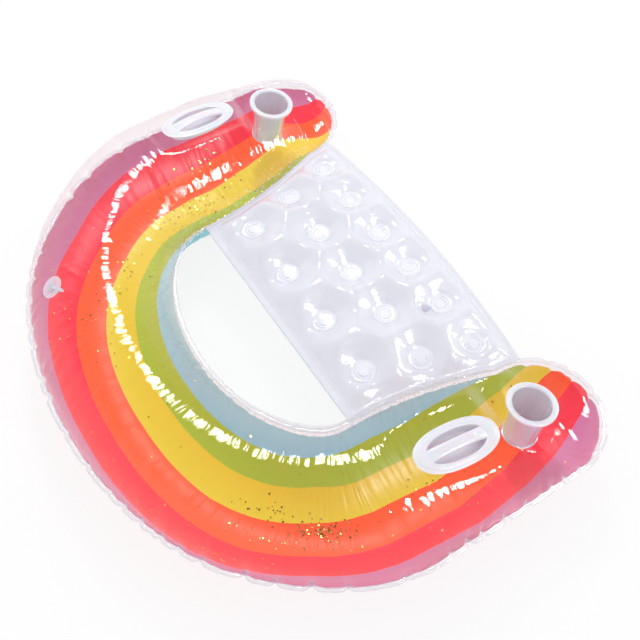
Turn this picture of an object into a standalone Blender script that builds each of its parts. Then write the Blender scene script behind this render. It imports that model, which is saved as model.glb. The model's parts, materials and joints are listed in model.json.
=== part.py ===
"""Inflatable pool chair: a U-shaped tube round a welded seat mat, with cup holders, grab handles and valves.

Units are metres and +Z is up. The chair's open front faces -Y, the back rest is at +Y, and X runs across.
The origin is on the floor under the middle of the chair. Left and right are the sitter's, so left is +X.
Films are thin closed shells whose outer faces follow the formulas below, thickened inwards.
"""

from collections import namedtuple
from math import atan2, ceil, cos, hypot, pi, radians, sin, sqrt, tan

import bmesh
import bpy
from mathutils import Matrix, Vector
from mathutils.geometry import delaunay_2d_cdt

# Whole chair, blown up
OVERALL_WIDTH = 1.108
OVERALL_LENGTH = 0.838
FILM = 0.0004
SEAM_GAP = 0.0004
FIT_GAP = 0.0003

# U-shaped tube
TUBE_HEIGHT = 0.255
BACK_TUBE_WIDTH = 0.264
SIDE_TUBE_WIDTH = 0.284
TIP_TUBE_WIDTH = 0.228
TIP_TUBE_HEIGHT = 0.130
SEAM_FLANGE = 0.009
CORNER_DRAW = 0.010
CORNER_START = radians(35)
KEEL_POWER = 1.3
TAPER_START_SHARE = 0.35
TAPER_POWER = 1.5
BEND_SPANS = 13
BEND_FINENESS = 40
ARM_SPANS = 8
TIP_SPANS = 8
TOP_SECTION_SPANS = 11
BOTTOM_SECTION_SPANS = 9

# Flat seats that the welded fittings pull into the top film
SEAT_BLEND_SLOPE = 0.85
SEAT_CORNER_POWER = 6
SEAT_ROW_MARGIN = 0.006

# Seat mat
MAT_BACK_SETBACK = 0.012
MAT_CORNER_SETBACK = 0.073
MAT_FRONT_BULGE = 0.026
MAT_FLANGE = 0.012
MAT_BACK_FLANGE = 0.018
MAT_CROWN = 0.033
ARCH_BLEND_POWER = 4
MAT_RISE = 0.014
MAT_RISE_RUN = 0.060
MAT_EDGE_RUN = 0.045
MAT_SHOULDER_SHARE = 0.28
MAT_EDGE_STEP = 0.045
MAT_FILL_STEP = 0.029
WELD_RADIUS = 0.021
WELD_RUN = 0.045
WELD_SHOULDER = 0.011
WELD_POINTS = 8
FRONT_ROW_WELDS = 6
FRONT_ROW_SPAN = 0.504
FRONT_ROW_SETBACK = 0.128
MIDDLE_ROW_WELDS = 5
MIDDLE_ROW_SPAN = 0.454
MIDDLE_ROW_SETBACK = 0.228
BACK_ROW_WELDS = 4
BACK_ROW_SPAN = 0.387
BACK_ROW_SETBACK = 0.3315

# Cup holders
CUP_SETBACK = 0.147
CUP_SEAT_HEIGHT = 0.0625
CUP_PITCH = radians(8)
CUP_TILT = radians(-3)
CUP_SEAT_BACK_LENGTH = 0.064
CUP_SEAT_FRONT_LENGTH = 0.082
CUP_SEAT_HALF_WIDTH = 0.072
CUP_RING_RADIUS = 0.0455
CUP_RING_HEIGHT = 0.0065
CUP_RING_EDGE = 0.0022
CUP_BORE_RADIUS = 0.0350
CUP_COLLAR_WALL = 0.0012
CUP_COLLAR_DEPTH = 0.010
CUP_WELL_WALL = 0.0006
CUP_WELL_DEPTH = 0.086
CUP_WELL_FOOT_RADIUS = 0.031
CUP_WELL_LIP = 0.0015
CUP_FLOOR_THICKNESS = 0.0008
CUP_FLOOR_LIP = 0.002
CUP_PLEATS = 12
PLEAT_SHARE = 0.965
RING_STEPS = 30

# Grab handles
HANDLE_SETBACK = 0.3145
HANDLE_OUTSET = 0.0235
HANDLE_SEAT_HEIGHT = 0.107
HANDLE_PITCH = radians(7)
HANDLE_YAW = radians(4)
HANDLE_TILT = radians(4)
HANDLE_SEAT_HALF_LENGTH = 0.104
HANDLE_SEAT_HALF_WIDTH = 0.060
HANDLE_LENGTH = 0.160
HANDLE_WIDTH = 0.080
HANDLE_FLANGE = 0.0022
HANDLE_STEP = 0.0016
HANDLE_STEP_INSET = 0.007
HANDLE_EDGE = 0.0007
DISH_LENGTH = 0.112
DISH_WIDTH = 0.052
DISH_DEPTH = 0.016
DISH_DRAFT = 0.003
DISH_END_WALL = 0.009
DISH_SIDE_WALL = 0.0022
DISH_FLOOR = 0.002
OVAL_POWER = 2.3
OVAL_POINTS = 28
GRIP_THICKNESS = 0.0085
GRIP_WIDTH = 0.0205
GRIP_TOP = 0.0105
GRIP_FOOT_DROP = 0.003
GRIP_EMBED = 0.004
GRIP_POWER = 2.6
GRIP_POINTS = 11
GRIP_DIMPLE_RADIUS = 0.0017
GRIP_DIMPLE_DEPTH = 0.0020
GRIP_DIMPLE_SHARE = 0.62
CUT_OVERRUN = 0.004

# Valves
TUBE_VALVE_TURN = radians(27.5)
TUBE_VALVE_LUG_TURN = radians(227)
SEAT_VALVE_LUG_TURN = radians(250)
SEAT_VALVE_X = -0.150
SEAT_VALVE_SETBACK = 0.163
SEAT_VALVE_PAD = 0.0150
SEAT_VALVE_LEVEL_SHARE = 0.55
STRAP_SPANS = 8
LUG_STEP_SHARE = 4

Station = namedtuple("Station", "centre outward forward half_width half_height")
FilmSeat = namedtuple(
    "FilmSeat", "centre back outward level pitch tilt back_length front_length half_width",
)
ValveSize = namedtuple(
    "ValveSize",
    "flange_radius flange collar_radius collar_height bore_radius stem_wall stem_length rim_radius rim_height "
    "plug_radius plug_length cap_radius cap_height flap_radius flap strap_width strap lug_reach clearance steps",
)

TUBE_VALVE = ValveSize(
    flange_radius=0.0215, flange=0.0010, collar_radius=0.0098, collar_height=0.0022, bore_radius=0.0076,
    stem_wall=0.0016, stem_length=0.0180, rim_radius=0.0092, rim_height=0.0012, plug_radius=0.0048,
    plug_length=0.0090, cap_radius=0.0070, cap_height=0.0014, flap_radius=0.0064, flap=0.0006,
    strap_width=0.0060, strap=0.0010, lug_reach=0.0340, clearance=0.0004, steps=24,
)
SEAT_VALVE = ValveSize(
    flange_radius=0.0088, flange=0.0008, collar_radius=0.0052, collar_height=0.0014, bore_radius=0.0039,
    stem_wall=0.0009, stem_length=0.0090, rim_radius=0.0049, rim_height=0.0008, plug_radius=0.0022,
    plug_length=0.0050, cap_radius=0.0036, cap_height=0.0010, flap_radius=0.0032, flap=0.0006,
    strap_width=0.0032, strap=0.0007, lug_reach=0.0132, clearance=0.0004, steps=16,
)

# Colours as linear values, read by eye from the photograph
PRINT_COLOURS = (
    ("print_teal", (0.29, 0.53, 0.57)),
    ("print_green", (0.46, 0.56, 0.07)),
    ("print_yellow", (0.82, 0.62, 0.08)),
    ("print_orange", (1.00, 0.20, 0.07)),
    ("print_red", (0.95, 0.06, 0.08)),
    ("print_purple", (0.58, 0.22, 0.39)),
)
CLEAR_FILM = ("clear_film", (0.86, 0.84, 0.90), 0.12)
MAT_FILM = ("mat_film", (0.80, 0.80, 0.92), 0.15)
WHITE_MOULDING = ("white_moulding", (0.85, 0.86, 0.90), 0.35)
MILKY_FILM = ("milky_film", (0.70, 0.62, 0.70), 0.30)
VALVE_VINYL = ("valve_vinyl", (0.72, 0.72, 0.84), 0.30)

MERGE = 0.00001
FULL_SHARE = 1.0
SEAM_Z = TUBE_HEIGHT / 2
SEAM_FACE = SEAM_GAP / 2 + FILM
MAT_Z = SEAM_Z + 2 * SEAM_FACE + SEAM_GAP
RIM_X = OVERALL_WIDTH / 2 - SEAM_FLANGE
RIM_Y = OVERALL_LENGTH / 2 - SEAM_FLANGE
SIDE_X = RIM_X - SIDE_TUBE_WIDTH / 2
BACK_Y = RIM_Y - BACK_TUBE_WIDTH / 2
TIP_X = RIM_X - TIP_TUBE_WIDTH / 2
TIP_Y = TIP_TUBE_WIDTH / 2 - RIM_Y
FRONT_Y = -OVERALL_LENGTH / 2


def clear_scene():
    """Remove every object of the open scene."""
    for obj in list(bpy.data.objects):
        bpy.data.objects.remove(obj, do_unlink=True)


def new_collection(name):
    """Add a collection to the scene."""
    collection = bpy.data.collections.new(name)
    bpy.context.scene.collection.children.link(collection)
    return collection


def make_material(name, colour, roughness=0.2):
    """Make a Principled material, or return the one that has the name."""
    material = bpy.data.materials.get(name)
    if material is None:
        material = bpy.data.materials.new(name)
        material.use_nodes = True
        shader = material.node_tree.nodes["Principled BSDF"]
        shader.inputs["Base Color"].default_value = (*colour, FULL_SHARE)
        shader.inputs["Roughness"].default_value = roughness
        shader.inputs["Metallic"].default_value = 0
    return material


def add_object(name, mesh, collection, material=None, parent=None):
    """Put a mesh into the scene as a named object, at its parent's place."""
    obj = bpy.data.objects.new(name, mesh)
    collection.objects.link(obj)
    if material is not None:
        mesh.materials.append(make_material(*material))
    if parent is not None:
        obj.parent = parent
    return obj


def add_frame(name, matrix, collection):
    """Add an empty that carries the pieces of one fitting."""
    empty = bpy.data.objects.new(name, None)
    empty.matrix_world = matrix
    collection.objects.link(empty)
    return empty


def mesh_from(name, vertices, faces, face_materials=None, smooth=True):
    """Make a mesh from points and faces and weld the points that coincide."""
    mesh = bpy.data.meshes.new(name)
    mesh.from_pydata([tuple(v) for v in vertices], [], faces)
    if face_materials is not None:
        mesh.polygons.foreach_set("material_index", face_materials)
    work = bmesh.new()
    work.from_mesh(mesh)
    bmesh.ops.remove_doubles(work, verts=work.verts, dist=MERGE)
    work.to_mesh(mesh)
    work.free()
    if smooth:
        mesh.shade_smooth()
    return mesh


def thicken(obj, thickness):
    """Give an open outer surface its thickness, on the inner side."""
    solid = obj.modifiers.new("film", "SOLIDIFY")
    solid.thickness = thickness
    solid.offset = -1
    solid.use_even_offset = True
    return solid


def cut(obj, cutter, operation="DIFFERENCE"):
    """Cut or join an object with another mesh."""
    boolean = obj.modifiers.new(operation.lower(), "BOOLEAN")
    boolean.operation = operation
    boolean.object = cutter
    boolean.solver = "EXACT"
    return boolean


def hide_cutter(obj):
    """Mark an object as a cutter."""
    obj.hide_render = True
    obj.display_type = "WIRE"


def turned(name, profile, steps, collection, material, parent):
    """Turn a profile of (radius, height) points about the local Z axis, down its outer side."""
    mesh = bpy.data.meshes.new(name)
    closed = profile[0][0] > MERGE or profile[-1][0] > MERGE
    points = [(radius, 0, height) for radius, height in profile]
    edges = [(i, i + 1) for i in range(len(points) - 1)]
    if closed:
        edges.append((len(points) - 1, 0))
    mesh.from_pydata(points, edges, [])
    obj = add_object(name, mesh, collection, material, parent)
    screw = obj.modifiers.new("turn", "SCREW")
    screw.steps = steps
    screw.render_steps = steps
    screw.use_merge_vertices = True
    screw.merge_threshold = MERGE
    screw.use_smooth_shade = True
    return obj


def smooth_step(value):
    """Ease a share from 0 to 1."""
    share = min(max(value, 0), FULL_SHARE)
    return share * share * (3 - 2 * share)


def arch(value):
    """Rise from 0 to 1 like the first half of an arch."""
    return sin(pi / 2 * min(max(value, 0), FULL_SHARE))


def bend_middle(turn):
    """Give a place on the bend's oval, where turn runs from 0 at the back to a quarter turn at the side."""
    return Vector((SIDE_X * sin(turn), BACK_Y * cos(turn)))


def bend_station(turn):
    """Give the tube's section in the bend. The outer seam is drawn in at the corner, and the inner one isn't."""
    forward = Vector((SIDE_X * cos(turn), -BACK_Y * sin(turn))).normalized()
    outward = Vector((-forward.y, forward.x))
    width = BACK_TUBE_WIDTH + (SIDE_TUBE_WIDTH - BACK_TUBE_WIDTH) * sin(turn) ** 2
    corner = max(turn - CORNER_START, 0) / (pi / 2 - CORNER_START)
    draw = CORNER_DRAW * sin(pi * corner) ** 2
    centre = bend_middle(turn) - outward * draw / 2
    return Station(centre, outward, forward, (width - draw) / 2, SEAM_Z - SEAM_FACE)


def arm_station(share):
    """Give the tube's section in an arm, where share runs from 0 at the bend to 1 at the tip's centre.

    Sections stay square to Y. The outer edge runs straight to the front, and the inner edge opens towards it.
    """
    centre = Vector((SIDE_X + (TIP_X - SIDE_X) * share ** 2, TIP_Y * share))
    forward = Vector((0, -1))
    outward = Vector((1, 0))
    width = SIDE_TUBE_WIDTH + (TIP_TUBE_WIDTH - SIDE_TUBE_WIDTH) * share ** 2
    taper = max(share - TAPER_START_SHARE, 0) / (FULL_SHARE - TAPER_START_SHARE)
    height = TUBE_HEIGHT + (TIP_TUBE_HEIGHT - TUBE_HEIGHT) * taper ** TAPER_POWER
    return Station(centre, outward, forward, width / 2, height / 2 - SEAM_FACE)


def bend_turns(spans):
    """Give turns that cut the bend into stretches of equal length."""
    fine = BEND_FINENESS * spans
    turns = [pi / 2 * i / fine for i in range(fine + 1)]
    places = [bend_middle(turn) for turn in turns]
    reach = [0]
    for before, after in zip(places, places[1:]):
        reach.append(reach[-1] + (after - before).length)
    picked = []
    index = 0
    for i in range(spans + 1):
        target = reach[-1] * i / spans
        while index < fine and reach[index] < target:
            index += 1
        picked.append(turns[index])
    return picked


def arm_share_at(setback):
    """Give the share along an arm of a place this far behind the chair's front edge."""
    return (FRONT_Y + setback) / TIP_Y


def arm_shares():
    """List the shares of an arm's sections, with closer ones under the cup holder."""
    cup = arm_share_at(CUP_SETBACK)
    behind = arm_share_at(CUP_SETBACK + CUP_SEAT_BACK_LENGTH - SEAT_ROW_MARGIN)
    shares = [behind * i / ARM_SPANS for i in range(1, ARM_SPANS + 1)]
    return shares + [(behind + cup) / 2, cup, FULL_SHARE]


def tube_stations():
    """List the sections of the left half of the tube, from the middle of the back to the tip's centre."""
    return [bend_station(turn) for turn in bend_turns(BEND_SPANS)] + [arm_station(share) for share in arm_shares()]


def cup_seat():
    """Give the flat seat of the left cup holder in the top film."""
    station = arm_station(arm_share_at(CUP_SETBACK))
    return FilmSeat(
        station.centre, -station.forward, station.outward, CUP_SEAT_HEIGHT, CUP_PITCH, CUP_TILT,
        CUP_SEAT_BACK_LENGTH, CUP_SEAT_FRONT_LENGTH, CUP_SEAT_HALF_WIDTH,
    )


def handle_seat():
    """Give the flat seat of the left handle in the top film, outboard of the tube's middle line."""
    station = arm_station(arm_share_at(HANDLE_SETBACK))
    outward = Vector((cos(HANDLE_YAW), sin(HANDLE_YAW)))
    back = Vector((-outward.y, outward.x))
    return FilmSeat(
        station.centre + HANDLE_OUTSET * outward, back, outward, HANDLE_SEAT_HEIGHT, HANDLE_PITCH, HANDLE_TILT,
        HANDLE_SEAT_HALF_LENGTH, HANDLE_SEAT_HALF_LENGTH, HANDLE_SEAT_HALF_WIDTH,
    )


def seat_ceiling(seat, plan):
    """Give the highest level of the film over the seam that a seat allows at a place in plan.

    The seat is a plane over an oblong with round corners. Outside it the film may climb away from the plane.
    """
    offset = plan - seat.centre
    along = offset.dot(seat.back)
    across = offset.dot(seat.outward)
    length = seat.back_length if along > 0 else seat.front_length
    powers = abs(along / length) ** SEAT_CORNER_POWER + abs(across / seat.half_width) ** SEAT_CORNER_POWER
    reach = max(powers ** (FULL_SHARE / SEAT_CORNER_POWER), FULL_SHARE)
    beyond = offset.length * (FULL_SHARE - FULL_SHARE / reach)
    return seat.level + along * tan(seat.pitch) - across * tan(seat.tilt) + beyond * SEAT_BLEND_SLOPE


def section_angles(spans):
    """Give the angles of a section's points, from the inner seam over the crown to the outer seam."""
    return [pi * i / spans for i in range(spans + 1)]


def section_rise(angle, side, spans):
    """Give a section point's height off the seam as a share of the crown's. Below, the film leaves the seam flatter."""
    share = max(sin(angle), 0) / sin(section_angles(spans)[spans // 2])
    return share if side > 0 else share ** KEEL_POWER


def tube_sheet_mesh(name, side, spans, seats):
    """Loft the left half of one sheet of the tube as an open surface.

    side is 1 for the top sheet and -1 for the bottom one. The section has an odd number of spans, so its
    crown is a flat strip: under the tube the chair stands on it. The tip is a half turn of the last section.
    """
    angles = section_angles(spans)
    vertices = []
    faces = []
    bands = []

    def point(plan, level):
        if side > 0:
            level = min([level] + [seat_ceiling(seat, plan) for seat in seats])
        vertices.append((plan.x, plan.y, SEAM_Z + side * (SEAM_FACE + level)))
        return len(vertices) - 1

    def face(corners, share):
        faces.append(corners if side > 0 else corners[::-1])
        bands.append(min(int(share * len(PRINT_COLOURS)), len(PRINT_COLOURS) - 1))

    rows = []
    for station in tube_stations():
        row = [point(station.centre - station.outward * (station.half_width + SEAM_FLANGE), 0)]
        for angle in angles:
            plan = station.centre - station.outward * station.half_width * cos(angle)
            row.append(point(plan, station.half_height * section_rise(angle, side, spans)))
        row.append(point(station.centre + station.outward * (station.half_width + SEAM_FLANGE), 0))
        rows.append(row)
    columns = len(rows[0]) - 1
    for before, after in zip(rows, rows[1:]):
        for i in range(columns):
            share = (i - FULL_SHARE / 2) / spans
            face((before[i], after[i], after[i + 1], before[i + 1]), max(share, 0))

    tip = arm_station(FULL_SHARE)
    rings = []
    for i in range(TIP_SPANS + 1):
        turn = pi * i / TIP_SPANS
        ray = tip.outward * cos(turn) + tip.forward * sin(turn)
        ring = [point(tip.centre + ray * (tip.half_width + SEAM_FLANGE), 0)]
        for angle in angles[: spans // 2 + 1]:
            plan = tip.centre + ray * tip.half_width * cos(angle)
            ring.append(point(plan, tip.half_height * section_rise(angle, side, spans)))
        rings.append(ring)
    for i, (before, after) in enumerate(zip(rings, rings[1:])):
        turn = pi * (i + FULL_SHARE / 2) / TIP_SPANS
        for j in range(len(before) - 1):
            offset = cos(turn) * cos(angles[max(j - 1, 0)])
            face((before[j], before[j + 1], after[j + 1], after[j]), (FULL_SHARE + offset) / 2)
    face([ring[-1] for ring in reversed(rings)], FULL_SHARE / 2)
    return mesh_from(name, vertices, faces, bands)


def build_tube_sheet(name, side, spans, collection):
    """Make one sheet of the tube, mirrored to its full width and thickened inwards."""
    seats = [cup_seat(), handle_seat()]
    mesh = tube_sheet_mesh(name, side, spans, seats)
    material = None if side < 0 else CLEAR_FILM
    obj = add_object(name, mesh, collection, material)
    if side < 0:
        for band_name, colour in PRINT_COLOURS:
            mesh.materials.append(make_material(band_name, colour))
    mirror = obj.modifiers.new("other_half", "MIRROR")
    mirror.use_axis = (True, False, False)
    mirror.use_mirror_merge = True
    mirror.merge_threshold = MERGE
    thicken(obj, FILM)
    return obj


def inner_rim(offset):
    """List the inner edge of the left arm, from the bend to the tip, moved off the tube by an offset."""
    points = []
    for station in tube_stations():
        points.append(station.centre - station.outward * (station.half_width + offset))
    tip = arm_station(FULL_SHARE)
    for i in range(1, TIP_SPANS // 2 + 1):
        turn = pi - pi * i / TIP_SPANS
        ray = tip.outward * cos(turn) + tip.forward * sin(turn)
        points.append(tip.centre + ray * (tip.half_width + offset))
    return points


def clip_rim(points, back_y, front_y):
    """Keep the stretch of a rim between two levels of Y, with a point on each."""
    kept = []
    for before, after in zip(points, points[1:]):
        for level in (back_y, front_y):
            if (before.y - level) * (after.y - level) < 0:
                share = (before.y - level) / (before.y - after.y)
                kept.append(before.lerp(after, share))
        if front_y < after.y < back_y:
            kept.append(after)
    return sorted(kept, key=lambda point: -point.y)


def mat_back_y():
    """Give the mat's back edge."""
    return -MAT_BACK_SETBACK


def mat_corner_y():
    """Give the level of the mat's front corners."""
    return FRONT_Y + MAT_CORNER_SETBACK


def rim_x(rim, y):
    """Give the X of a rim at a level of Y."""
    for before, after in zip(rim, rim[1:]):
        if after.y < y <= before.y:
            share = (before.y - y) / (before.y - after.y)
            return before.lerp(after, share).x
    return rim[0].x if y > rim[0].y else rim[-1].x


def mat_rim(inset):
    """Give the mat's left side edge, moved in by an inset."""
    rim = inner_rim(SEAM_GAP + inset)
    behind = [i for i, point in enumerate(rim) if point.y > mat_back_y()]
    lowest = min(behind, key=lambda i: rim[i].y)
    return clip_rim(rim[lowest:], mat_back_y(), mat_corner_y())


MAT_SIDE = mat_rim(MAT_FLANGE)
MAT_HALF_FRONT = mat_rim(0)[-1].x


def mat_front_y(x):
    """Give the mat's front edge at a place across the chair, an arc between the corners."""
    return mat_corner_y() - MAT_FRONT_BULGE * (FULL_SHARE - (x / MAT_HALF_FRONT) ** 2)


def mat_outline(inset, back_inset):
    """List the mat's outline anticlockwise, moved in by the insets."""
    side = [
        point for point in mat_rim(inset)
        if mat_corner_y() + inset < point.y < mat_back_y() - back_inset
    ]
    rim = mat_rim(inset)
    back_x = rim_x(rim, mat_back_y() - back_inset)
    front_x = rim_x(rim, mat_corner_y() + inset)
    left = [Vector((back_x, mat_back_y() - back_inset))] + side
    left.append(Vector((front_x, mat_front_y(front_x) + inset)))
    steps = ceil(2 * front_x / MAT_EDGE_STEP)
    front = []
    for i in range(1, steps):
        x = front_x - 2 * front_x * i / steps
        front.append(Vector((x, mat_front_y(x) + inset)))
    steps = ceil(2 * back_x / MAT_EDGE_STEP)
    back = [Vector((2 * back_x * i / steps - back_x, mat_back_y() - back_inset)) for i in range(1, steps)]
    right = [Vector((-point.x, point.y)) for point in reversed(left)]
    clockwise = left + front + right + back
    return clockwise[::-1]


def weld_centres():
    """List the centres of the mat's spot welds, row by row."""
    rows = (
        (FRONT_ROW_WELDS, FRONT_ROW_SPAN, FRONT_ROW_SETBACK),
        (MIDDLE_ROW_WELDS, MIDDLE_ROW_SPAN, MIDDLE_ROW_SETBACK),
        (BACK_ROW_WELDS, BACK_ROW_SPAN, BACK_ROW_SETBACK),
    )
    centres = []
    for count, span, setback in rows:
        for i in range(count):
            centres.append(Vector((span * i / (count - 1) - span / 2, FRONT_Y + setback)))
    return centres


WELDS = weld_centres()


def seat_valve_place():
    """Give the seat valve's place in plan."""
    return Vector((SEAT_VALVE_X, FRONT_Y + SEAT_VALVE_SETBACK))


def edge_distance(x, y):
    """Give how far a place of the mat lies inside the flat flange round it."""
    side = rim_x(MAT_SIDE, y) - abs(x)
    front = y - mat_front_y(x) - MAT_FLANGE
    back = mat_back_y() - MAT_BACK_FLANGE - y
    return min(side, front, back)


def mat_crown(x, y):
    """Give the mat's bulge over its middle level: none at the welds and the flange, round between them.

    The arches that rise from the welds and from the flange are blended, so that no ridge stands between them.
    """
    shares = [arch((hypot(x - centre.x, y - centre.y) - WELD_RADIUS) / WELD_RUN) for centre in WELDS]
    shares.append(arch(edge_distance(x, y) / MAT_EDGE_RUN))
    if min(shares) < FILM:
        return 0
    total = FULL_SHARE + sum(share ** -ARCH_BLEND_POWER - FULL_SHARE for share in shares)
    return MAT_CROWN * total ** (-FULL_SHARE / ARCH_BLEND_POWER)


def mat_rise(x, y):
    """Give how far the mat's middle level stands over its flange."""
    return MAT_RISE * smooth_step(edge_distance(x, y) / MAT_RISE_RUN)


def valve_pad_level():
    """Give the level of the flat pad under the seat valve, over the mat's seam."""
    place = seat_valve_place()
    return SEAT_VALVE_LEVEL_SHARE * mat_crown(place.x, place.y) + mat_rise(place.x, place.y)


def mat_face_z(x, y, side):
    """Give the outer face of a mat sheet at a place."""
    place = seat_valve_place()
    if side > 0 and hypot(x - place.x, y - place.y) < SEAT_VALVE_PAD + FILM:
        return MAT_Z + SEAM_FACE + valve_pad_level()
    return MAT_Z + side * (SEAM_FACE + mat_crown(x, y)) + mat_rise(x, y)


def ring_points(centre, radius, count):
    """Give points evenly round a centre."""
    return [centre + radius * Vector((cos(2 * pi * i / count), sin(2 * pi * i / count))) for i in range(count)]


def mat_lines():
    """List the closed lines of the mat's plan: its outline, the edge of its flange and its shoulder."""
    shoulder = MAT_EDGE_RUN * MAT_SHOULDER_SHARE
    return [
        mat_outline(0, 0),
        mat_outline(MAT_FLANGE, MAT_BACK_FLANGE),
        mat_outline(MAT_FLANGE + shoulder, MAT_BACK_FLANGE + shoulder),
    ]


def mat_fill_points(side):
    """List the mat's points between its lines: rings round the welds and an even fill."""
    points = []
    for centre in WELDS:
        points += ring_points(centre, WELD_RADIUS, WELD_POINTS)
        points += ring_points(centre, WELD_RADIUS + WELD_SHOULDER, WELD_POINTS)
    keep_weld = WELD_RADIUS + WELD_SHOULDER + MAT_FILL_STEP / 3
    rows = ceil(OVERALL_LENGTH / MAT_FILL_STEP)
    columns = ceil(OVERALL_WIDTH / 2 / MAT_FILL_STEP)
    for row in range(rows):
        y = mat_back_y() - row * MAT_FILL_STEP
        for column in range(-columns, columns + 1):
            x = (column + (row % 2) / 2) * MAT_FILL_STEP
            place = Vector((x, y))
            clear_of_welds = min((place - centre).length for centre in WELDS) > keep_weld
            if clear_of_welds and edge_distance(x, y) > MAT_EDGE_RUN * MAT_SHOULDER_SHARE + MAT_FILL_STEP / 3:
                points.append(place)
    if side > 0:
        valve = seat_valve_place()
        keep_valve = SEAT_VALVE_PAD + WELD_SHOULDER / 2
        points = [point for point in points if (point - valve).length > keep_valve or near_weld_edge(point)]
        points += ring_points(valve, SEAT_VALVE_PAD, WELD_POINTS)
    return points


def near_weld_edge(point):
    """Tell whether a point lies on the edge of a weld."""
    return min(abs((point - centre).length - WELD_RADIUS) for centre in WELDS) < FILM


def build_mat_sheet(name, side, collection):
    """Make one sheet of the seat mat from a triangle net over its plan."""
    points = []
    edges = []
    for line in mat_lines():
        start = len(points)
        points += line
        edges += [(start + i, start + (i + 1) % len(line)) for i in range(len(line))]
    plan, _, faces, _, _, _ = delaunay_2d_cdt(points + mat_fill_points(side), edges, [], 1, MERGE)
    vertices = [(p.x, p.y, mat_face_z(p.x, p.y, side)) for p in plan]
    ordered = [list(corners) if side > 0 else list(corners)[::-1] for corners in faces]
    mesh = mesh_from(name, vertices, ordered)
    obj = add_object(name, mesh, collection, MAT_FILM)
    thicken(obj, FILM)
    return obj


def seat_matrix(seat, side):
    """Give the place of a fitting on the left or right film seat: Z off the film and Y to the back."""
    origin = Vector((seat.centre.x, seat.centre.y, SEAM_Z + SEAM_FACE + seat.level))
    back = Vector((seat.back.x, seat.back.y, tan(seat.pitch)))
    outward = Vector((seat.outward.x, seat.outward.y, -tan(seat.tilt)))
    for vector in (origin, back, outward):
        vector.x *= side
    up = (outward * side).cross(back).normalized()
    back.normalize()
    rotation = Matrix((back.cross(up), back, up)).transposed().to_4x4()
    return Matrix.Translation(origin + up * FIT_GAP) @ rotation


def ring_profile():
    """Give the section of a cup ring: a rounded flange with a collar that hangs through the film."""
    outer = CUP_RING_RADIUS
    top = CUP_RING_HEIGHT
    edge = CUP_RING_EDGE
    bore = CUP_BORE_RADIUS
    collar = bore + CUP_COLLAR_WALL
    return [
        (bore + edge, top), (outer - edge, top), (outer - edge / 4, top - edge / 2), (outer, top - 2 * edge),
        (outer - edge / 4, 0), (collar, 0), (collar, -CUP_COLLAR_DEPTH), (bore, -CUP_COLLAR_DEPTH),
        (bore, top - edge), (bore + edge / 3, top - edge / 3),
    ]


def pleated_wall(name, top_radius, foot_radius, top_z, foot_z):
    """Make the open side wall of a cup well: a taper whose film folds in between its pleats."""
    count = 2 * CUP_PLEATS
    levels = ((top_radius, top_z, FULL_SHARE), (foot_radius, foot_z, PLEAT_SHARE))
    vertices = []
    for radius, z, fold in levels:
        for i in range(count):
            angle = 2 * pi * i / count
            reach = radius * (fold if i % 2 else FULL_SHARE)
            vertices.append((reach * cos(angle), reach * sin(angle), z))
    faces = [(i, count + i, count + (i + 1) % count, (i + 1) % count) for i in range(count)]
    return mesh_from(name, vertices, faces, smooth=False)


def build_cup(side, prefix, parts, cutters, top_sheet):
    """Make one cup holder: a moulded ring, a pleated film well and the well's floor disc."""
    frame = add_frame(prefix + "_cup_place", seat_matrix(cup_seat(), side), parts)
    turned(prefix + "_cup_ring", ring_profile(), RING_STEPS, parts, WHITE_MOULDING, frame)

    top_z = CUP_RING_HEIGHT - CUP_RING_EDGE - CUP_WELL_LIP
    foot_z = top_z - CUP_WELL_DEPTH
    wall = pleated_wall(
        prefix + "_cup_well", CUP_BORE_RADIUS - FIT_GAP, CUP_WELL_FOOT_RADIUS, top_z, foot_z,
    )
    well = add_object(prefix + "_cup_well", wall, parts, MILKY_FILM, frame)
    thicken(well, CUP_WELL_WALL)

    floor_radius = CUP_WELL_FOOT_RADIUS + CUP_FLOOR_LIP
    floor_top = foot_z - FIT_GAP
    floor = [(0, floor_top), (floor_radius, floor_top), (floor_radius, floor_top - CUP_FLOOR_THICKNESS),
             (0, floor_top - CUP_FLOOR_THICKNESS)]
    turned(prefix + "_cup_floor", floor, 2 * CUP_PLEATS, parts, MILKY_FILM, frame)

    hole_radius = CUP_BORE_RADIUS + CUP_COLLAR_WALL + FIT_GAP
    hole = [(0, CUT_OVERRUN), (hole_radius, CUT_OVERRUN), (hole_radius, -CUT_OVERRUN), (0, -CUT_OVERRUN)]
    cutter = turned(prefix + "_cup_hole", hole, RING_STEPS, cutters, None, frame)
    hide_cutter(cutter)
    cut(top_sheet, cutter)


def oval_ring(half_length, half_width, z, count=OVAL_POINTS):
    """Give a ring of points on an oval that is a little fuller than an ellipse, long along Y."""
    points = []
    for i in range(count):
        angle = 2 * pi * i / count
        reach = (abs(cos(angle)) ** OVAL_POWER + abs(sin(angle)) ** OVAL_POWER) ** (-FULL_SHARE / OVAL_POWER)
        points.append((half_width * reach * cos(angle), half_length * reach * sin(angle), z))
    return points


def oval_loft(name, rings):
    """Loft closed rings of one oval family from the top of a piece round to its underside."""
    vertices = []
    for half_length, half_width, z in rings:
        vertices += oval_ring(half_length, half_width, z)
    count = OVAL_POINTS
    faces = [list(range(count))]
    for level in range(len(rings) - 1):
        start = level * count
        for i in range(count):
            after = (i + 1) % count
            faces.append([start + i, start + count + i, start + count + after, start + after])
    last = (len(rings) - 1) * count
    faces.append([last + i for i in range(count)][::-1])
    mesh = mesh_from(name, vertices, faces)
    mesh.set_sharp_from_angle(angle=radians(35))
    return mesh


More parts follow.
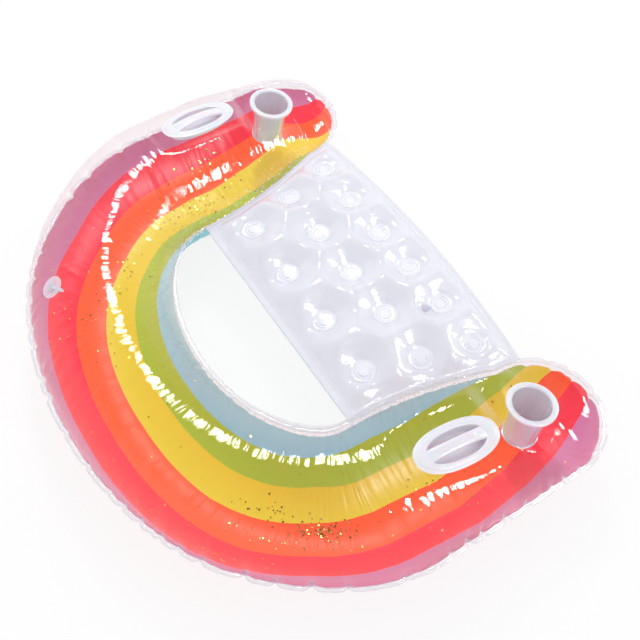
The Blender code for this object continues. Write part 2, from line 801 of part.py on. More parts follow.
def handle_rings():
    """List the levels of a handle's base, from the dish floor up over the stepped rim and down to the bowl."""
    half_length = HANDLE_LENGTH / 2
    half_width = HANDLE_WIDTH / 2
    dish_length = DISH_LENGTH / 2
    dish_width = DISH_WIDTH / 2
    step_top = HANDLE_FLANGE + HANDLE_STEP
    step_length = half_length - HANDLE_STEP_INSET
    step_width = half_width - HANDLE_STEP_INSET
    bowl_length = dish_length + DISH_END_WALL
    bowl_width = dish_width + DISH_SIDE_WALL
    edge = HANDLE_EDGE
    return [
        (dish_length - DISH_DRAFT, dish_width - DISH_DRAFT, -DISH_DEPTH),
        (dish_length, dish_width, step_top - 2 * edge),
        (dish_length + edge, dish_width + edge, step_top),
        (step_length - edge, step_width - edge, step_top),
        (step_length, step_width, step_top - edge),
        (step_length + edge, step_width + edge, HANDLE_FLANGE),
        (half_length - edge, half_width - edge, HANDLE_FLANGE),
        (half_length, half_width, HANDLE_FLANGE / 2),
        (half_length - edge, half_width - edge, 0),
        (bowl_length, bowl_width, 0),
        (bowl_length - DISH_DRAFT, bowl_width - DISH_DRAFT, -DISH_DEPTH - DISH_FLOOR),
    ]


def grip_mesh(name):
    """Make the arched grip as a round bar along a curve, flattened to its real width."""
    curve = bpy.data.curves.new(name, "CURVE")
    curve.dimensions = "3D"
    curve.bevel_depth = GRIP_THICKNESS / 2
    curve.bevel_resolution = 1
    curve.use_fill_caps = True
    spline = curve.splines.new("POLY")
    spline.points.add(GRIP_POINTS - 1)
    half = DISH_LENGTH / 2 + GRIP_EMBED
    foot_z = -GRIP_FOOT_DROP
    top_z = GRIP_TOP - GRIP_THICKNESS / 2
    for i, point in enumerate(spline.points):
        share = 2 * i / (GRIP_POINTS - 1) - FULL_SHARE
        z = foot_z + (top_z - foot_z) * (FULL_SHARE - abs(share) ** GRIP_POWER)
        point.co = (0, half * share, z, FULL_SHARE)
    holder = bpy.data.objects.new(name, curve)
    bpy.context.scene.collection.objects.link(holder)
    evaluated = holder.evaluated_get(bpy.context.evaluated_depsgraph_get())
    mesh = bpy.data.meshes.new_from_object(evaluated)
    bpy.data.objects.remove(holder, do_unlink=True)
    work = bmesh.new()
    work.from_mesh(mesh)
    bmesh.ops.remove_doubles(work, verts=work.verts, dist=MERGE)
    bmesh.ops.recalc_face_normals(work, faces=work.faces)
    for vertex in work.verts:
        vertex.co.x *= GRIP_WIDTH / GRIP_THICKNESS
    work.to_mesh(mesh)
    work.free()
    mesh.shade_smooth()
    return mesh


def grip_height(share):
    """Give the height of the grip's centreline at a share of its half length."""
    top_z = GRIP_TOP - GRIP_THICKNESS / 2
    return top_z - (top_z + GRIP_FOOT_DROP) * abs(share) ** GRIP_POWER


def build_handle(side, prefix, parts, cutters, top_sheet):
    """Make one handle: an oval base with a finger dish, joined to an arched grip with a dimple at its front."""
    frame = add_frame(prefix + "_handle_place", seat_matrix(handle_seat(), side), parts)
    base = add_object(prefix + "_handle", oval_loft(prefix + "_handle", handle_rings()), parts, WHITE_MOULDING, frame)

    grip = add_object(prefix + "_grip_tool", grip_mesh(prefix + "_grip"), cutters, None, frame)
    hide_cutter(grip)
    cut(base, grip, "UNION")

    half = DISH_LENGTH / 2 + GRIP_EMBED
    # The dimple is at the front end of both grips, and the frame's Y points to the back.
    top = grip_height(GRIP_DIMPLE_SHARE) + GRIP_THICKNESS / 2
    pin = [(0, top + CUT_OVERRUN), (GRIP_DIMPLE_RADIUS, top + CUT_OVERRUN),
           (GRIP_DIMPLE_RADIUS, top - GRIP_DIMPLE_DEPTH), (0, top - GRIP_DIMPLE_DEPTH)]
    dimple = turned(prefix + "_dimple_tool", pin, WELD_POINTS, cutters, None, frame)
    dimple.location.y = -GRIP_DIMPLE_SHARE * half
    hide_cutter(dimple)
    cut(base, dimple)

    clear_length = DISH_LENGTH / 2 + DISH_END_WALL + FIT_GAP
    clear_width = DISH_WIDTH / 2 + DISH_SIDE_WALL + FIT_GAP
    hole = oval_loft(prefix + "_dish_hole", [
        (clear_length, clear_width, CUT_OVERRUN),
        (clear_length, clear_width, -CUT_OVERRUN),
    ])
    cutter = add_object(prefix + "_dish_hole", hole, cutters, None, frame)
    hide_cutter(cutter)
    cut(top_sheet, cutter)


def tube_valve_matrix():
    """Give the tube valve's place: the middle of one span of the top sheet, square to it."""
    turns = bend_turns(BEND_SPANS)
    index = min(range(BEND_SPANS), key=lambda i: abs((turns[i] + turns[i + 1]) / 2 - TUBE_VALVE_TURN))
    angles = section_angles(TOP_SECTION_SPANS)
    outer = TOP_SECTION_SPANS // 2 + 2
    corners = []
    for turn in (turns[index], turns[index + 1]):
        station = bend_station(turn)
        for angle in (angles[outer], angles[outer + 1]):
            plan = station.centre - station.outward * station.half_width * cos(angle)
            level = station.half_height * section_rise(angle, 1, TOP_SECTION_SPANS)
            corners.append(Vector((plan.x, plan.y, SEAM_Z + SEAM_FACE + level)))
    middle = sum(corners, Vector((0, 0, 0))) / len(corners)
    forward = (corners[2] + corners[3] - corners[0] - corners[1]).normalized()
    down = (corners[1] + corners[3] - corners[0] - corners[2]).normalized()
    up = forward.cross(down).normalized()
    warp = max(abs((corner - middle).dot(up)) for corner in corners)
    rotation = Matrix((forward, up.cross(forward), up)).transposed().to_4x4()
    lift = Matrix.Translation(middle + up * (warp + FIT_GAP))
    return lift @ rotation @ Matrix.Rotation(TUBE_VALVE_LUG_TURN, 4, "Z")


def seat_valve_matrix():
    """Give the seat valve's place on its flat pad."""
    place = seat_valve_place()
    height = MAT_Z + SEAM_FACE + valve_pad_level() + FIT_GAP
    return Matrix.Translation((place.x, place.y, height)) @ Matrix.Rotation(SEAT_VALVE_LUG_TURN, 4, "Z")


def lug_outline(size):
    """Give the base's outline: its round flange and the rounded lug that the strap leaves from."""
    points = []
    half = size.strap_width / 2
    lug_centre = size.lug_reach - half
    start = atan2(half, sqrt(size.flange_radius ** 2 - half ** 2))
    for i in range(size.steps + 1):
        angle = start + (2 * pi - 2 * start) * i / size.steps
        points.append((size.flange_radius * cos(angle), size.flange_radius * sin(angle)))
    end_points = size.steps // LUG_STEP_SHARE
    for i in range(end_points + 1):
        angle = -pi / 2 + pi * i / end_points
        points.append((lug_centre + half * cos(angle), half * sin(angle)))
    return points


def flat_plate(name, outline, bottom, top):
    """Make a flat plate from an outline."""
    count = len(outline)
    vertices = [(x, y, bottom) for x, y in outline] + [(x, y, top) for x, y in outline]
    faces = [list(range(count))[::-1], [count + i for i in range(count)]]
    for i in range(count):
        after = (i + 1) % count
        faces.append([i, after, count + after, count + i])
    return mesh_from(name, vertices, faces, smooth=False)


def strap_mesh(name, size, start_x, start_z, end_x, end_z, rise):
    """Make the strap as an arched band along X, from the lug's top to the stopper's cap."""
    spans = STRAP_SPANS
    vertices = []
    for i in range(spans + 1):
        share = i / spans
        x = start_x + (end_x - start_x) * share
        z = start_z + (end_z - start_z) * share + rise * sin(pi * share)
        for y in (-size.strap_width / 2, size.strap_width / 2):
            vertices.append((x, y, z))
            vertices.append((x, y, z + size.strap))
    faces = [[0, 1, 3, 2]]
    for i in range(spans):
        a = 4 * i
        b = a + 4
        faces += [[a, b, b + 1, a + 1], [a + 1, b + 1, b + 3, a + 3], [a + 3, b + 3, b + 2, a + 2], [a + 2, b + 2, b, a]]
    end = 4 * spans
    faces.append([end + 2, end + 3, end + 1, end])
    mesh = mesh_from(name, vertices, faces, smooth=False)
    work = bmesh.new()
    work.from_mesh(mesh)
    bmesh.ops.recalc_face_normals(work, faces=work.faces)
    work.to_mesh(mesh)
    work.free()
    return mesh


def build_valve(prefix, size, matrix, parts, cutters, sheet):
    """Make one valve: base, push-in stem, stopper, tether strap and inner flap."""
    frame = add_frame(prefix + "_valve_place", matrix, parts)
    steps = size.steps
    collar_top = size.flange + size.collar_height
    stem_radius = size.bore_radius - size.clearance
    stem_bore = stem_radius - size.stem_wall
    rim_bottom = collar_top + size.clearance
    rim_top = rim_bottom + size.rim_height
    stem_foot = rim_top - size.stem_length

    plate = flat_plate(prefix + "_valve_base", lug_outline(size), 0, size.flange)
    base = add_object(prefix + "_valve_base", plate, parts, VALVE_VINYL, frame)
    sleeve = [(size.bore_radius, collar_top), (size.collar_radius, collar_top), (size.collar_radius, size.flange / 2),
              (size.bore_radius, size.flange / 2)]
    collar = turned(prefix + "_collar_tool", sleeve, steps, cutters, None, frame)
    hide_cutter(collar)
    cut(base, collar, "UNION")
    bore = [(0, collar_top + CUT_OVERRUN), (size.bore_radius, collar_top + CUT_OVERRUN),
            (size.bore_radius, -CUT_OVERRUN), (0, -CUT_OVERRUN)]
    drill = turned(prefix + "_bore_tool", bore, steps, cutters, None, frame)
    hide_cutter(drill)
    cut(base, drill)

    stem = [(stem_bore, rim_top), (size.rim_radius, rim_top), (size.rim_radius, rim_bottom),
            (stem_radius, rim_bottom), (stem_radius, stem_foot), (stem_bore, stem_foot)]
    turned(prefix + "_valve_stem", stem, steps, parts, VALVE_VINYL, frame)

    plug_radius = min(size.plug_radius, stem_bore - size.clearance)
    cap_bottom = rim_top + FIT_GAP
    cap_top = cap_bottom + size.cap_height
    plug_foot = cap_bottom - size.plug_length
    tip_radius = plug_radius - size.stem_wall / 2
    stopper = [(0, cap_top), (size.cap_radius, cap_top), (size.cap_radius, cap_bottom), (plug_radius, cap_bottom),
               (plug_radius, plug_foot + size.stem_wall), (tip_radius, plug_foot), (0, plug_foot)]
    turned(prefix + "_valve_stopper", stopper, steps, parts, VALVE_VINYL, frame)

    flap_top = stem_foot - FIT_GAP
    flap = [(0, flap_top), (size.flap_radius, flap_top), (size.flap_radius, flap_top - size.flap),
            (0, flap_top - size.flap)]
    turned(prefix + "_valve_flap", flap, steps, parts, VALVE_VINYL, frame)

    strap = strap_mesh(
        prefix + "_valve_strap", size, size.lug_reach - size.strap_width / 2, size.flange + FIT_GAP,
        size.cap_radius + FIT_GAP, cap_bottom, size.collar_height,
    )
    add_object(prefix + "_valve_strap", strap, parts, VALVE_VINYL, frame)

    hole_radius = size.bore_radius + size.clearance
    reach = CUT_OVERRUN
    hole = [(0, reach), (hole_radius, reach), (hole_radius, -reach), (0, -reach)]
    cutter = turned(prefix + "_stem_hole", hole, steps, cutters, None, frame)
    hide_cutter(cutter)
    cut(sheet, cutter)


def main():
    """Build the whole chair."""
    clear_scene()
    parts = new_collection("pool_chair")
    cutters = new_collection("cutters")
    top_sheet = build_tube_sheet("tube_top_sheet", 1, TOP_SECTION_SPANS, parts)
    build_tube_sheet("tube_bottom_sheet", -1, BOTTOM_SECTION_SPANS, parts)
    seat_top = build_mat_sheet("seat_top_sheet", 1, parts)
    build_mat_sheet("seat_bottom_sheet", -1, parts)
    for side, prefix in ((1, "left"), (-1, "right")):
        build_cup(side, prefix, parts, cutters, top_sheet)
        build_handle(side, prefix, parts, cutters, top_sheet)
    build_valve("tube", TUBE_VALVE, tube_valve_matrix(), parts, cutters, top_sheet)
    build_valve("seat", SEAT_VALVE, seat_valve_matrix(), parts, cutters, seat_top)


main()
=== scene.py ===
"""Studio scene of an inflatable pool chair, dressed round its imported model.

Units are metres and +Z is up. The open front faces -Y, the back rest is at +Y, and left is +X, as the sitter has it.
The films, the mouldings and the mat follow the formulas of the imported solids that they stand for.
"""

from __future__ import annotations

import json
import logging
from dataclasses import dataclass, field, replace
from enum import Enum
from functools import cache
from math import cos, pi, radians, sin, tan
from typing import Any, Callable, Sequence

import bmesh
import bpy
import numpy as np
from mathutils import Matrix, Vector
from mathutils.geometry import delaunay_2d_cdt

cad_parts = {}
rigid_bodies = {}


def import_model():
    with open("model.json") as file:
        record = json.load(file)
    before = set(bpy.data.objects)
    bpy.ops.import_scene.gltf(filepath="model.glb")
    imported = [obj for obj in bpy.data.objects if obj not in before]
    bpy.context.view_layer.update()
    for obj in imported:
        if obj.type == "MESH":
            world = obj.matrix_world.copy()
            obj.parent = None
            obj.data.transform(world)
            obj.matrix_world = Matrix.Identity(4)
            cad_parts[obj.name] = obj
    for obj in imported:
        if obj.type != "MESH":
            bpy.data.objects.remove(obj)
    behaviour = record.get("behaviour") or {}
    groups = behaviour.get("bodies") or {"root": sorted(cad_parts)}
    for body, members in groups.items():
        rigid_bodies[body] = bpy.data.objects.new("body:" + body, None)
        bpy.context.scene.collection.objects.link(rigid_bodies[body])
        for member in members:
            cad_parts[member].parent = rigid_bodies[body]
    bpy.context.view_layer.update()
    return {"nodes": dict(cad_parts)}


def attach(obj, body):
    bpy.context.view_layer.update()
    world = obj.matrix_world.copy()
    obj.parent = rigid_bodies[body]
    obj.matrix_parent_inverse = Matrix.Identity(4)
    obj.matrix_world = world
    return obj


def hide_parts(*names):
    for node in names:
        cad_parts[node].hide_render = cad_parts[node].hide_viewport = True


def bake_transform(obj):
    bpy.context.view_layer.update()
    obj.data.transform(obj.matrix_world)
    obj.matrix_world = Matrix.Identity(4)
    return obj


for start_object in list(bpy.data.objects):
    bpy.data.objects.remove(start_object, do_unlink=True)

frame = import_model()

log = logging.getLogger("pool_chair")

Array = np.ndarray
Faces = Sequence[Sequence[int]]
Obj = bpy.types.Object
Socket = bpy.types.NodeSocket
Colour = tuple[float, float, float, float]

MERGE = 0.00002
FIT_GAP = 0.0003
FLOAT_BODY = "float"
WHITE: Colour = (1.0, 1.0, 1.0, 1.0)
BLACK: Colour = (0.0, 0.0, 0.0, 1.0)
CLOTH_SETTINGS: dict[str, Any] = {
    "quality": 6, "mass": 0.25, "tension_stiffness": 25, "compression_stiffness": 25, "shear_stiffness": 12,
    "bending_stiffness": 0.10, "use_pressure": True, "vertex_group_mass": "welded",
}


class Side(Enum):
    """Which of the sitter's sides a paired piece is on."""

    LEFT = 1
    RIGHT = -1

    @property
    def label(self) -> str:
        """Give the side's name for a piece."""
        return self.name.lower()


class Sheet(Enum):
    """Which of the two films of an inflated part."""

    TOP = 1
    BOTTOM = -1


class Seam(Enum):
    """Which welded edge of the tube a set of folds starts from."""

    INNER = "inner"
    OUTER = "outer"


def smooth_step(value: Array | float) -> Array | float:
    """Ease a share from 0 to 1.

    Args:
        value: The share, also outside 0 to 1.

    Returns:
        The eased share.
    """
    share = np.clip(value, 0.0, 1.0)
    return share * share * (3.0 - 2.0 * share)


def soft_min(first: Array, second: Array, blend: float) -> Array:
    """Take the lower of two values with a rounded change between them.

    Args:
        first: One set of values.
        second: The other set.
        blend: The width of the rounding.

    Returns:
        The blended lower values.
    """
    share = np.clip(0.5 + 0.5 * (second - first) / blend, 0.0, 1.0)
    return second + (first - second) * share - blend * share * (1.0 - share)


@dataclass(frozen=True)
class Noise:
    """Smooth random values from 0 to 1 over a plane."""

    size: tuple[float, float]
    shift: tuple[float, float]
    seed: int
    cells: int = 64

    def at(self, x: Array, y: Array, seed_step: int = 0) -> Array:
        """Give the value at places.

        Args:
            x: First coordinates.
            y: Second coordinates.
            seed_step: What is added to the seed.

        Returns:
            One value for each place.
        """
        table = np.random.default_rng(self.seed + seed_step).random((self.cells, self.cells))
        x, y = x / self.size[0] + self.shift[0], y / self.size[1] + self.shift[1]
        x0, y0 = np.floor(x).astype(int), np.floor(y).astype(int)
        share_x, share_y = smooth_step(x - x0), smooth_step(y - y0)
        low, high = (
            table[x0 % self.cells, row] * (1 - share_x) + table[(x0 + 1) % self.cells, row] * share_x
            for row in (y0 % self.cells, (y0 + 1) % self.cells)
        )
        return low * (1 - share_y) + high * share_y


def mesh_object(name: str, vertices: Array, faces: Faces) -> Obj:
    """Make an object from points and faces, as they are.

    Args:
        name: The object's name.
        vertices: Points, one in each row.
        faces: Corners of each face.

    Returns:
        The new object, linked to the scene.
    """
    mesh = bpy.data.meshes.new(name)
    mesh.from_pydata(np.asarray(vertices).tolist(), [], [list(face) for face in faces])
    obj = bpy.data.objects.new(name, mesh)
    bpy.context.scene.collection.objects.link(obj)
    return obj


def weld_points(obj: Obj, face_normals: bool = False, reach: float = MERGE) -> None:
    """Merge the coinciding points of an object's mesh.

    Args:
        obj: The object.
        face_normals: Whether the faces are turned outwards as well.
        reach: How far apart points that coincide may lie.
    """
    work = bmesh.new()
    work.from_mesh(obj.data)
    bmesh.ops.remove_doubles(work, verts=work.verts, dist=reach)
    bmesh.ops.dissolve_degenerate(work, edges=work.edges, dist=MERGE / 2)
    if face_normals:
        bmesh.ops.recalc_face_normals(work, faces=work.faces)
    work.to_mesh(obj.data)
    work.free()


def points_of(mesh: bpy.types.Mesh) -> Array:
    """Read a mesh's points, one in each row."""
    points = np.empty(len(mesh.vertices) * 3)
    mesh.vertices.foreach_get("co", points)
    return points.reshape(-1, 3)


def move_points(obj: Obj, points: Array) -> None:
    """Put an object's points in new places."""
    obj.data.vertices.foreach_set("co", points.ravel())
    obj.data.update()


def group_points(obj: Obj, name: str, chosen: Array) -> None:
    """Make a vertex group of the points that are chosen."""
    obj.vertex_groups.new(name=name).add([int(i) for i in np.nonzero(chosen)[0]], 1.0, "REPLACE")


def add_modifier(obj: Obj, name: str, kind: str, **settings: Any) -> bpy.types.Modifier:
    """Add a modifier with its settings."""
    modifier = obj.modifiers.new(name, kind)
    for key, value in settings.items():
        setattr(modifier, key, value)
    return modifier


def thicken(obj: Obj, thickness: float, **settings: Any) -> None:
    """Give an open film its thickness, inwards from its outer face."""
    add_modifier(obj, "thickness", "SOLIDIFY", thickness=thickness, offset=-1, **settings)


def bake_modifiers(obj: Obj) -> None:
    """Replace an object's mesh by its evaluated mesh and drop its modifiers."""
    bpy.context.view_layer.update()
    graph = bpy.context.evaluated_depsgraph_get()
    mesh = bpy.data.meshes.new_from_object(obj.evaluated_get(graph), preserve_all_data_layers=True, depsgraph=graph)
    mesh.name = obj.name
    obj.modifiers.clear()
    obj.data = mesh


def combine(obj: Obj, tool: Obj, operation: str, solver: str) -> None:
    """Add a tool's solid to an object or cut it away, and drop the tool."""
    add_modifier(obj, "tool", "BOOLEAN", operation=operation, solver=solver, object=tool)
    bake_modifiers(obj)
    bpy.data.objects.remove(tool, do_unlink=True)


def polish(obj: Obj, sharp_from: float) -> None:
    """Shade an object smooth, but for edges sharper than an angle in degrees."""
    obj.data.shade_smooth()
    obj.data.set_sharp_from_angle(angle=radians(sharp_from))


def write_uv(obj: Obj, name: str, values: Array) -> None:
    """Store two numbers for each point as a UV map.

    Args:
        obj: The object.
        name: The map's name.
        values: Pairs of numbers, one for each point.
    """
    layer = obj.data.uv_layers.new(name=name)
    corners = np.empty(len(obj.data.loops), int)
    obj.data.loops.foreach_get("vertex_index", corners)
    layer.data.foreach_set("uv", values[corners].astype(np.float32).ravel())


def grid_faces(index: Array, flip: bool = False) -> Array:
    """List the quads between the neighbouring rows and columns of a grid of point numbers."""
    corners = index[:-1, :-1], index[1:, :-1], index[1:, 1:], index[:-1, 1:]
    return np.stack([corners[i] for i in ((0, 3, 2, 1) if flip else (0, 1, 2, 3))], -1).reshape(-1, 4)


def loft(rings: Array, flip: bool = False, capped: bool = True) -> tuple[Array, list[list[int]]]:
    """Join closed rings of points into a skin.

    Args:
        rings: The rings in rows, with one point in each column.
        flip: Whether the faces turn the other way.
        capped: Whether the first and the last ring are closed.

    Returns:
        Points and faces.
    """
    index = np.arange(rings.shape[0] * rings.shape[1]).reshape(rings.shape[:2])
    faces = grid_faces(np.concatenate([index, index[:, :1]], 1), flip).tolist()
    if capped:
        turn = -1 if flip else 1
        faces += [index[0][::turn].tolist(), index[-1][::-turn].tolist()]
    return rings.reshape(-1, 3), faces


def oval(count: int, half_x: float, half_y: float, power: float) -> tuple[Array, Array]:
    """Give places on the edge of an ellipse that a power over 2 fills out towards its box.

    Args:
        count: How many places.
        half_x: Half the width.
        half_y: Half the length.
        power: The power.

    Returns:
        X and Y of the places.
    """
    angle = 2 * pi * np.arange(count) / count
    reach = (np.abs(np.cos(angle)) ** power + np.abs(np.sin(angle)) ** power) ** (-1 / power)
    return half_x * reach * np.cos(angle), half_y * reach * np.sin(angle)


def lathe(profile: Sequence[tuple[float, float]], steps: int) -> tuple[Array, list[list[int]]]:
    """Turn a closed profile of (radius, height) points about the local Z axis.

    Args:
        profile: The points, down the outer side and back up the inner one. A radius of 0 becomes a pole.
        steps: Steps of the full turn.

    Returns:
        Points and faces.
    """
    radius, height = np.array(profile, float).T
    angles = (np.arange(steps) * 2 * pi / steps)[:, None]
    points = np.stack([radius * np.cos(angles), radius * np.sin(angles), height + 0 * angles], -1)
    index = np.arange(steps * len(radius)).reshape(steps, -1)
    if max(radius[0], radius[-1]) > MERGE:
        index = np.concatenate([index, index[:, :1]], 1)
    return points.reshape(-1, 3), grid_faces(np.concatenate([index, index[:1]]), flip=True).tolist()


@dataclass(frozen=True)
class FilmSeat:
    """A flat place that a rigid fitting pulls into the tube's top film, on the left side."""

    x: float
    y: float
    yaw: float
    level: float
    pitch: float
    tilt: float
    back_length: float
    front_length: float
    half_width: float
    corner_power: float = 6.0
    slope: float = 0.85
    seam_top: float = 0.1281

    def local(self, x: Array, y: Array) -> tuple[Array, Array]:
        """Give the distances of places in plan along and across the seat.

        Args:
            x: X of the places, on the left side.
            y: Y of the places.

        Returns:
            The distance towards the back and the distance outwards.
        """
        dx, dy = x - self.x, y - self.y
        along = -sin(self.yaw) * dx + cos(self.yaw) * dy
        across = cos(self.yaw) * dx + sin(self.yaw) * dy
        return along, across

    def ceiling(self, x: Array, y: Array) -> Array:
        """Give the highest level that the film may have over the seam at places in plan."""
        along, across = self.local(x, y)
        length = np.where(along > 0, self.back_length, self.front_length)
        powers = np.abs(along / length) ** self.corner_power + np.abs(across / self.half_width) ** self.corner_power
        reach = np.maximum(powers ** (1.0 / self.corner_power), 1.0)
        beyond = np.hypot(along, across) * (1.0 - 1.0 / reach)
        return self.level + along * tan(self.pitch) - across * tan(self.tilt) + beyond * self.slope

    def matrix(self, side: Side) -> Matrix:
        """Give the place of the fitting: X outwards or inwards, Y to the back, Z off the film."""
        sign = side.value
        origin = Vector((self.x * sign, self.y, self.seam_top + self.level))
        back = Vector((-sin(self.yaw) * sign, cos(self.yaw), tan(self.pitch)))
        outward = Vector((cos(self.yaw) * sign, sin(self.yaw), -tan(self.tilt)))
        up = (outward * sign).cross(back).normalized()
        back.normalize()
        rotation = Matrix((back.cross(up), back, up)).transposed().to_4x4()
        return Matrix.Translation(origin + up * FIT_GAP) @ rotation


@dataclass(frozen=True)
class Folds:
    """A run of puckers that start at a seam and die out over the film."""

    seam: Seam
    spacing: float
    depth: float
    width: float
    spread: float
    reach: float
    skew: float
    seed: int
    sharpness: float = 1.4
    chances: tuple[tuple[str, float, float], ...] = (
        ("spacing", 0.55, 1.45), ("depth", 0.35, 1.15), ("reach", 0.45, 1.6), ("skew", -1.0, 1.0), ("width", 0.7, 1.4),
    )

    def depths(self, along: Array, distance: Array, run: float) -> Array:
        """Give how deep the film is drawn in.

        Args:
            along: Place along the seam.
            distance: Distance from the seam over the film.
            run: How far the folds go on to both sides of the middle of the back.

        Returns:
            The depth at each place.
        """
        rng = np.random.default_rng(self.seed)
        total = np.zeros_like(along)
        place = -run
        while place < run:
            gap, depth, reach, skew, width = (
                getattr(self, name) * rng.uniform(low, high) for name, low, high in self.chances
            )
            place += gap
            offset = (along - place - skew * distance) / (width + self.spread * distance)
            total += depth * np.exp(-np.abs(offset) ** self.sharpness) * np.exp(-distance / reach)
        return total


@dataclass
class TubePatch:
    """One grid of the tube: sections in rows, and points across a section in columns."""

    centre_x: Array
    centre_y: Array
    outward_x: Array
    outward_y: Array
    half_width: Array
    half_height: Array
    angle: Array
    along: Array
    band_place: Array
    overhang: Array
    inner_weight: Array
    outer_weight: Array

    @property
    def radius(self) -> Array:
        """Give the tube's mean radius at each place."""
        return (self.half_width + self.half_height) / 2


@dataclass(frozen=True)
class PrintLayout:
    """Where the six printed bands meet, as shares of the way across the film from its inner seam."""

    stations: tuple[float, ...] = (
        -0.949, -0.890, -0.835, -0.765, -0.66, -0.5, -0.4, -0.3, -0.2, 0.0, 0.2, 0.4, 0.6, 0.72, 0.835, 0.858, 0.881,
        0.909, 0.949,
    )
    border_shares: tuple[tuple[float, ...], ...] = (
        (-0.08, 0.07, 0.225, 0.38, 0.54), (-0.025, 0.125, 0.28, 0.435, 0.595), (0.055, 0.205, 0.36, 0.515, 0.675),
        (0.12, 0.28, 0.435, 0.585, 0.735), (0.18, 0.33, 0.47, 0.625, 0.775), (0.165, 0.31, 0.445, 0.60, 0.72),
        (0.175, 0.305, 0.458, 0.612, 0.735), (0.20, 0.333, 0.487, 0.648, 0.81), (0.213, 0.353, 0.508, 0.658, 0.845),
        (0.225, 0.362, 0.508, 0.655, 0.817), (0.25, 0.387, 0.537, 0.677, 0.833), (0.287, 0.41, 0.542, 0.675, 0.808),
        (0.33, 0.45, 0.58, 0.712, 0.855), (0.27, 0.40, 0.565, 0.70, 0.84), (0.13, 0.28, 0.52, 0.66, 0.80),
        (0.08, 0.22, 0.455, 0.60, 0.76), (0.0, 0.12, 0.33, 0.52, 0.67), (-0.10, 0.02, 0.235, 0.475, 0.61),
        (-0.20, -0.08, 0.17, 0.455, 0.56),
    )
    end_share: float = 0.2
    last_share: float = 0.95

    def place(self, station: Array, share: Array) -> Array:
        """Give the place in the print: each band takes an equal part of 0 to 1.

        Args:
            station: Places along the tube, past its ends at the tips.
            share: Shares of the way across.

        Returns:
            The place in the print.
        """
        borders = [np.interp(station, self.stations, column) for column in zip(*self.border_shares)]
        place = np.clip(1.0 - (borders[0] - share) / self.end_share, 1.0 - self.last_share, 1.0)
        for low, high in zip(borders, borders[1:]):
            place = place + np.clip((share - low) / (high - low), 0.0, 1.0)
        place = place + np.clip((share - borders[-1]) / self.end_share, 0.0, self.last_share)
        return place / (len(borders) + 1)


